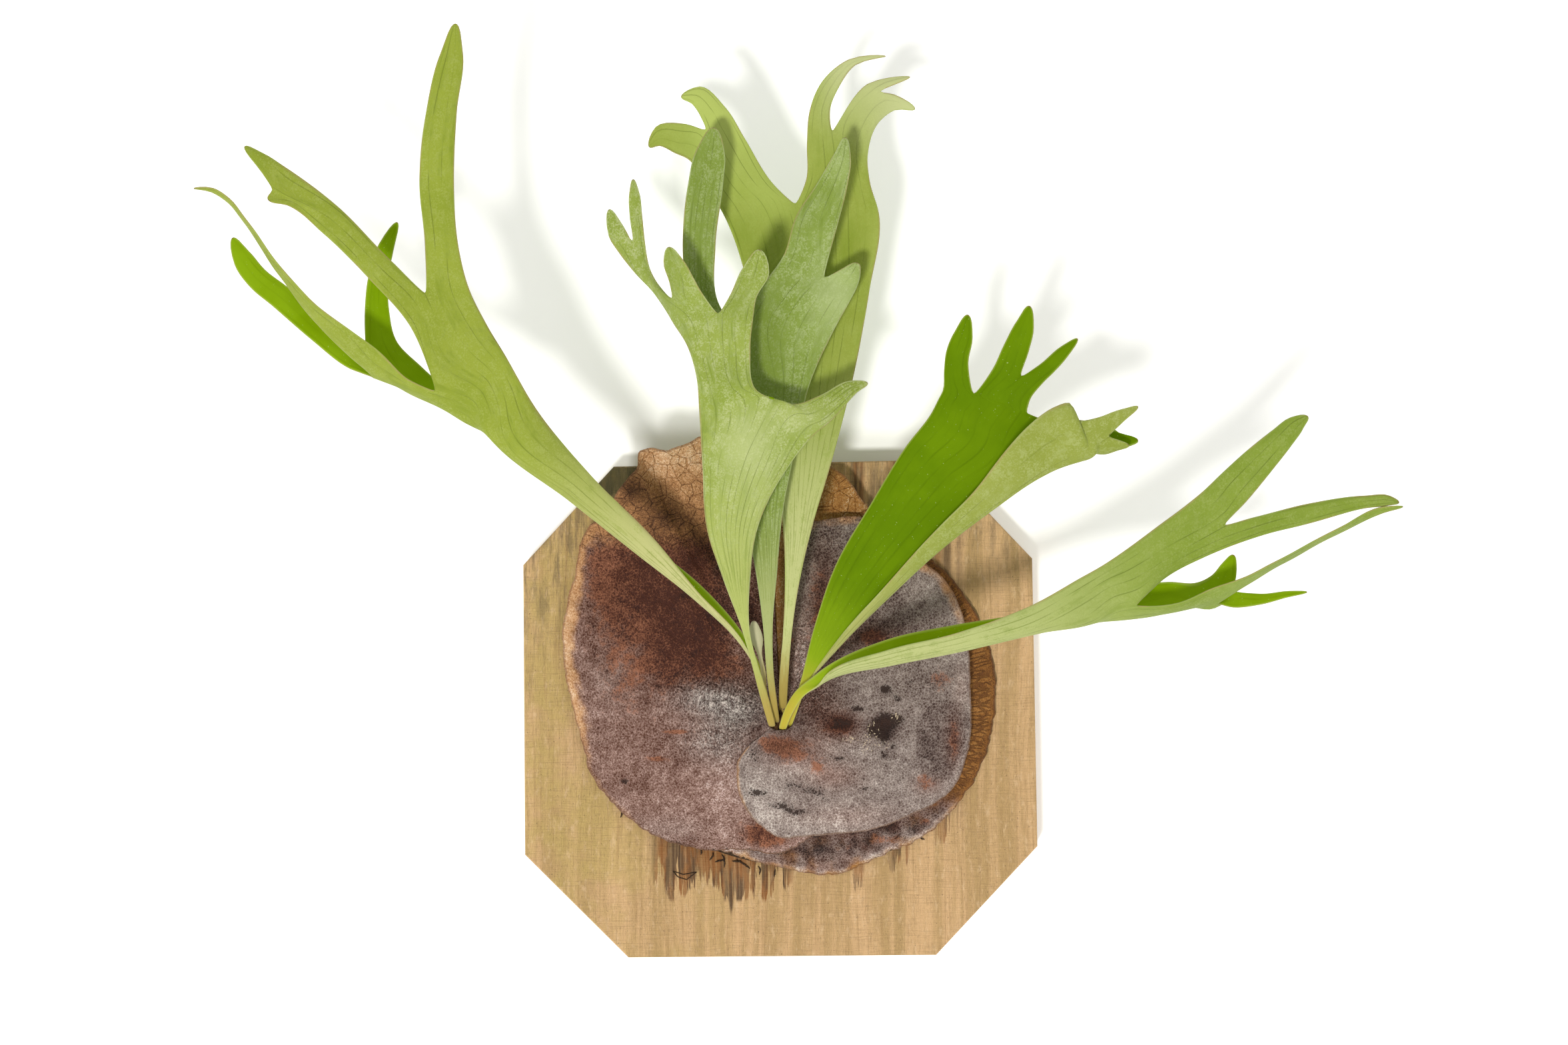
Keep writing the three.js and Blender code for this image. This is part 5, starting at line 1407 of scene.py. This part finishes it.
RIB_BROWN = (0.085, 0.028, 0.007)
MARK_BLACK = (0.020, 0.008, 0.005)
CHIP_CREAM = (0.62, 0.50, 0.34)
LIP_BROWN = (0.17, 0.085, 0.042)


def papery_net(s, spot):
    """Dark veins that show in the shields' papery tops."""
    bent = s.shifted(spot, s.noise(spot, 0.12, out=1))
    net = s.least(s.cracks(bent, 0.12), s.cracks(bent, 0.36) * 2.0)
    _, _, high = s.parts(spot)
    return s.step(0.036, 0.004, net) * s.step(74.0, 100.0, high)


def shield_material(name, papery, grain, seed):
    """Dry felted leaf: grey hairs in fine grains over red-brown, papery rims, rusty and dark marks."""
    s = Shade(name)
    light, grey, tan = s.fact("shield_tone")
    dark, rust, pale = s.fact("shield_mark")
    shine, wet, ribs = s.fact("shield_skin")
    angle, radius, rim = s.fact("shield_place")
    spot = s.place()
    rays = s.streaked(angle * 0.30, radius * 0.05, 4.0, 0.65, seed) - 0.5
    fine = s.noise(spot, 0.85, 3.0, 0.75) - 0.5
    lumps = s.noise(spot, 0.22, 3.0, 0.6, 0.4) - 0.5
    broad = s.noise(spot, 0.085, 3.0, 0.6, 0.5) - 0.5

    # How light the skin is at each point, and the colour that goes with it
    hairs = s.cracks(s.shifted(spot, s.noise(spot, 0.5, 2.0)), 0.62)
    wrinkle = s.noise(s.vector(angle * 0.12, radius * 0.26, seed), 1.0, 2.0, 0.6, 1.2)
    crease = abs(wrinkle - 0.5) * 2.0
    value = light + fine * grain + lumps * 0.55 + broad * 0.40 + rays * 0.45
    value += (s.step(0.16, 0.05, hairs) - 0.45) * 0.22
    value += s.step(0.38, 0.50, wet + lumps * 0.5) * -0.24
    # Where the skin shines: painted shade along the creases and painted highlight on the skin between them
    value += (s.step(0.12, 0.0, crease) - 0.35) * shine * -0.45
    colour = s.mix(grey, s.ramp(value, MAUVE_SCALE), s.ramp(value, GREY_SCALE))
    rust_colour = s.mix(s.step(0.0, 0.85, value), RUST_DARK, RUST_LIGHT)
    web = papery_net(s, spot)
    paper = s.ramp(light + (value - light) * 0.6 + web * -0.22, papery)

    # Rust, paper, ribs, dark marks, pale chips and the rim's own line, each over the one before
    scallop = s.cracks(s.vector(angle + (fine + 0.5) * 0.7, radius * 0.13, seed), 0.85)
    rib = s.step(0.15, 0.04, scallop) * ribs
    mark = s.step(0.44, 0.54, dark * 0.8 + lumps * 0.9 + fine * 1.9)
    colour = s.coats(colour, [
        (rust + lumps * 1.3 + fine * 0.9, 0.25, 0.70, 0.85, rust_colour),
        (tan + lumps * 0.6, 0.15, 0.85, 1.0, paper),
    ])
    colour = s.mix(rib * 0.6, colour, RIB_BROWN)
    colour = s.mix(mark * 0.92, colour, MARK_BLACK)
    colour = s.coats(colour, [
        (s.noise(spot, 0.95, 2.0), 0.60, 0.64, s.step(0.25, 0.6, pale), CHIP_CREAM),
        (rim, 1.3, 0.4, 0.55, LIP_BROWN),
    ])

    relief = s.bump(rays, 1.2)
    relief = s.bump(s.least(crease, 0.35) * shine, 5.0, relief)
    relief = s.bump(lumps + web * -0.4, 0.9, relief)
    relief = s.bump(fine + mark * -0.6 + rib * -0.8, 0.75, relief)
    rough = s.step(0.2, 0.6, value) * 0.25 + 0.62 + shine * -0.30
    return s.finish(colour, rough, relief, Specular_IOR_Level=0.22)


GRAIN_BROWN, FIBRE_BROWN, SAW_BROWN = (0.36, 0.215, 0.090), (0.33, 0.205, 0.095), (0.33, 0.21, 0.10)
BAND_DARK, BAND_LIGHT = (0.475, 0.310, 0.135), (0.660, 0.425, 0.215)
OLIVE_BLOOM, PALE_WOOD, PORE_BROWN = (0.50, 0.37, 0.12), (0.76, 0.54, 0.32), (0.13, 0.085, 0.045)
END_DARK, END_LIGHT = (0.20, 0.14, 0.06), (0.42, 0.30, 0.14)
# The black of the board's upper left corner is moss and painted shadow together
GRIME, MOSS_AND_SHADOW_BLACK = (0.15, 0.11, 0.065), (0.035, 0.038, 0.014)
STAIN_DARK, STAIN_RED = (0.075, 0.040, 0.022), (0.25, 0.095, 0.026)


def wood_material():
    """Sawn pine: upright grain crossed by fine saw marks, grimy towards the top, stained below the plant."""
    s = Shade("sawn_pine")
    spot = s.place()
    x, y, z = s.parts(spot)
    _, _, up = s.parts(s.node("ShaderNodeNewGeometry", {}, out=1))
    drift = s.streaked(x * 0.02, z * 0.006, 2.0, 0.5, 3.0)
    bent = x + drift * 14.0
    bands = s.streaked(bent * 0.11, z * 0.004, 4.0, 0.65, y * 0.05)
    grain = s.streaked(bent * 0.75, z * 0.018, 4.0, 0.7, y * 0.3)
    fibre = s.streaked(x * 2.6, z * 0.12, 3.0, 0.7, y)
    saw = s.streaked(x * 0.05, z * 1.1 + drift * 6.0, 3.0, 0.7)
    pale = s.streaked(x * 0.30, z * 0.11, 3.0, 0.7, 6.0)
    pores = s.streaked(x * 0.9, z * 0.6, 1.0, 0.5, 4.0)
    rings = s.streaked(x * 0.35, y * 0.9, 4.0, 0.7, 2.0)
    colour = s.coats(BAND_DARK, [
        (bands, 0.36, 0.64, 1.0, BAND_LIGHT),
        (s.noise(spot, 0.018, 4.0, 0.65), 0.40, 0.60, s.step(20.0, -150.0, x) * 0.7, OLIVE_BLOOM),
        (grain, 0.50, 0.68, 0.42, GRAIN_BROWN),
        (fibre, 0.50, 0.70, 0.40, FIBRE_BROWN),
        (saw, 0.50, 0.68, 0.34, SAW_BROWN),
        (pale, 0.52, 0.72, 0.45, PALE_WOOD),
        (pores, 0.70, 0.76, 0.6, PORE_BROWN),
    ])
    colour = weather(s, colour, x, y, z)
    colour = stain(s, colour, x, y, z, drift, grain)
    cut = s.mix(s.step(0.4, 0.65, rings), END_DARK, END_LIGHT)
    colour = s.coats(colour, [(abs(up), 0.5, 0.9, 0.6, cut)])
    relief = s.bump(grain * 0.8 + saw * 0.6, 0.8)
    relief = s.bump(fibre, 0.45, relief)
    return s.finish(colour, 0.85, relief, Specular_IOR_Level=0.25)


def weather(s, colour, x, y, z):
    """Grey-brown grime in upright streaks towards the top, and a dark upper left corner, moss with painted
    shadow of the shield's papery top and the long left frond on it.
    """
    streaks = s.streaked(x * 0.22, z * 0.028, 5.0, 0.75, 8.0)
    where = s.step(-70.0, -165.0, x) * s.step(-40.0, 90.0, z) + s.step(45.0, 130.0, z)
    grime = s.step(0.50, 0.70, streaks + where * 0.07) * s.least(where, 1.0)
    colour = s.mix(grime * 0.62, colour, GRIME)
    # Painted shadow with moss: the front's upper left corner is darkened where the shield's papery top and
    # the long left frond shade it
    corner = s.step(-70.0, -78.0, x) * s.step(120.0, 128.0, z + (streaks - 0.5) * 16.0)
    return s.mix(corner * s.step(-4.0, -16.0, y) * 0.85, colour, MOSS_AND_SHADOW_BLACK)


def stain(s, colour, x, y, z, drift, grain):
    """Brown runs of water down the board's front from under the shields."""
    groups = s.streaked(x * 0.075, 0.4, 1.0, 0.5)
    teeth = s.streaked(x * 0.21, z * 0.01, 4.0, 0.75, 7.4)
    drop = s.step(0.34, 0.56, groups) * s.step(0.36, 0.56, teeth) * 17.0 + s.step(0.34, 0.60, teeth) * 9.0
    left_run = s.step(-1.5, 1.5, z + drop + 87.0) * s.step(-80.0, -68.0, x) * s.step(10.0, 2.0, x)
    narrow = abs(x + drift * 2.0 + 28.0) + (z + 95.0) * -0.11
    long_run = s.step(5.0, 3.6, narrow + teeth * 2.0) * s.step(-124.0, -116.0, z)
    right = s.step(36.0, 44.0, x) * s.step(110.0, 100.0, x) * s.step(0.46, 0.56, groups)
    right_run = s.step(-1.5, 1.5, z + drop * 0.8 + x * -0.55 + 112.0) * right
    wet = s.most(s.most(left_run, long_run), right_run * 0.8)
    wet = wet * s.step(-21.0, -21.9, y) * (s.step(0.35, 0.60, grain) * 0.38 + 0.62)
    red = s.step(0.42, 0.60, s.streaked(x * 0.13, z * 0.03, 3.0, 0.6, 5.0))
    return s.mix(wet * 0.94, colour, s.mix(red, STAIN_DARK, STAIN_RED))


def fibre_material(name, dark, light, moss=None):
    """Matted roots or stem scales: dark brown threads, some moss."""
    s = Shade(name)
    spot = s.place()
    threads = s.least(s.cracks(spot, 0.35), s.cracks(spot, 0.8))
    tangle = s.noise(spot, 0.5, 5.0, 0.7, 1.2)
    colour = s.mix(s.step(0.3, 0.7, tangle), dark, light)
    if moss:
        colour = s.coats(colour, [(s.noise(spot, 0.05, 4.0, 0.6), 0.55, 0.68, 1.0, moss)])
    relief = s.bump(tangle, 1.2)
    relief = s.bump(s.step(0.0, 0.2, threads), 0.5, relief)
    return s.finish(colour, 0.92, relief, Specular_IOR_Level=0.25)


def stage_material(name, glow=0.0):
    """Matt stage surface, clear from behind; glow lights it, but not in the board's shadow."""
    s = Shade(name)
    s.finish(STAGE_WHITE, 0.9, Specular_IOR_Level=0.1)
    if glow:
        x, _, z = s.parts(s.place())
        beside = s.most(s.step(84.0, 92.0, abs(x)), s.step(0.0, -100.0, z))
        away = s.most(beside, s.step(156.0, 172.0, z))
        s.feed(s.surface.inputs["Emission Color"], WALL_GLOW_COLOUR)
        s.feed(s.surface.inputs["Emission Strength"], away * glow)
    clear = s.node("ShaderNodeBsdfTransparent", {})
    behind = s.node("ShaderNodeNewGeometry", {}, out=6)
    front = Value(s, s.surface.outputs[0])
    mixed = s.node("ShaderNodeMixShader", {0: behind, 1: front, 2: clear})
    s.feed(s.tree.nodes["Material Output"].inputs["Surface"], mixed)
    return s.material


# ---------------------------------------------------------------- the object

FRONDS = {
    "frond_left": (FROND_LEFT, "frond_pale"),
    "frond_centre_front": (FROND_CENTRE_FRONT, "frond_pale"),
    "frond_centre_middle": (FROND_CENTRE_MIDDLE, "frond_grey"),
    "frond_centre_back": (FROND_CENTRE_BACK, "frond_yellow"),
    "frond_right_upper": (FROND_RIGHT_UPPER, "frond_green"),
    "frond_right_lower": (FROND_RIGHT_LOWER, "frond_green"),
    "frond_young": (FROND_YOUNG, "frond_pale"),
}
SHIELDS = {                         # shape, slot, and the material's name, papery colours and grain
    "shield_old": (SHIELD_OLD, "shield_orange", "old_shield", ORANGE_SCALE, 1.3),
    "shield_left": (SHIELD_LEFT, "shield_brown", "brown_shield", TAN_SCALE, 1.5),
    "shield_right": (SHIELD_RIGHT, "shield_violet", "violet_shield", TAN_SCALE, 1.15),
}
ROOT_COLOURS = (0.030, 0.017, 0.010), (0.12, 0.07, 0.035), (0.07, 0.085, 0.02)
SCALE_COLOURS = (0.035, 0.016, 0.008), (0.19, 0.095, 0.035)


def dress_board():
    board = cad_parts["board"]
    board.data.materials.clear()
    board.data.materials.append(wood_material())


def build_roots():
    matted = fibre_material("matted_root", *ROOT_COLOURS)
    root_ball_piece(matted)
    rhizome_piece(fibre_material("stem_scale", *SCALE_COLOURS))
    root_bits_piece(matted)
    root_scrap_piece(matted)


def build_shields():
    for number, (name, (shape, slot, material, papery, grain)) in enumerate(SHIELDS.items()):
        shield_piece(name, shape, shield_material(material, papery, grain, 1.0 + number))


def build_fronds():
    for number, (name, (frond, slot)) in enumerate(FRONDS.items()):
        under = leaf_under(name + "_under", UNDERSIDES[name], 1.0 + number)
        green = UPPER_SHADED if name == "frond_right_upper" else UPPER_LIT
        upper = leaf_upper(name + "_upper", green, 10.0 + number)
        frond_piece(name, frond, under, upper)


# ---------------------------------------------------------------- stage, light and camera

def stage_plane(name, corners, faces, material):
    mesh = bpy.data.meshes.new(name)
    mesh.from_pydata(corners, [], faces)
    mesh.materials.append(material)
    made = linked(name, mesh)
    return made


def build_stage():
    """Floor, and a wall that is left open behind the board so that the board's back gets light."""
    opening = [(x * MM, WALL_GAP, z * MM) for x, z in WALL_OPENING]
    outline = [(math.copysign(STAGE_REACH, x), WALL_GAP, max(math.copysign(STAGE_REACH, z), FLOOR_LEVEL))
               for x, _, z in opening]
    count = len(opening)
    faces = []
    for i in range(count):
        k = (i + 1) % count
        faces.append([i, count + i, count + k, k])
    stage_plane("wall", opening + outline, faces, stage_material("wall_white", WALL_GLOW))
    corners = [(-STAGE_REACH, WALL_GAP), (-STAGE_REACH, -2 * STAGE_REACH),
               (STAGE_REACH, -2 * STAGE_REACH), (STAGE_REACH, WALL_GAP)]
    ground = [(x, y, FLOOR_LEVEL) for x, y in corners]
    floor = stage_plane("floor", ground, [[0, 1, 2, 3]], stage_material("stage_white"))
    floor.visible_shadow = False       # the key light stands low


def build_light():
    world = bpy.data.worlds.new("studio")
    world.use_nodes = True
    sky = world.node_tree.nodes["Background"].inputs
    sky["Color"].default_value = (*SKY_COLOUR, 1)
    sky["Strength"].default_value = SKY_STRENGTH
    bpy.context.scene.world = world
    key = bpy.data.lights.new("key", "SUN")
    key.energy = KEY_STRENGTH
    key.angle = math.radians(KEY_ANGLE)
    key.color = KEY_COLOUR
    lamp = linked("key", key)
    lamp.rotation_mode = "QUATERNION"
    lamp.rotation_quaternion = Vector(KEY_TOWARDS).to_track_quat("-Z", "Y")


def build_camera():
    data = bpy.data.cameras.new("camera")
    data.sensor_width = SENSOR
    data.lens = SENSOR * CAMERA_AWAY / VIEW_WIDTH
    data.clip_start, data.clip_end = 0.1, 20
    camera = linked("camera", data)
    camera.location = (CAMERA_AIM[0] * MM, -(BOARD_THICK + CAMERA_AWAY) * MM, CAMERA_AIM[1] * MM)
    camera.rotation_euler = (math.radians(90), 0, 0)
    bpy.context.scene.camera = camera


build_camera()
dress_board()
build_roots()
build_shields()
build_fronds()
build_stage()
build_light()
bpy.context.scene.view_settings.view_transform = "Standard"
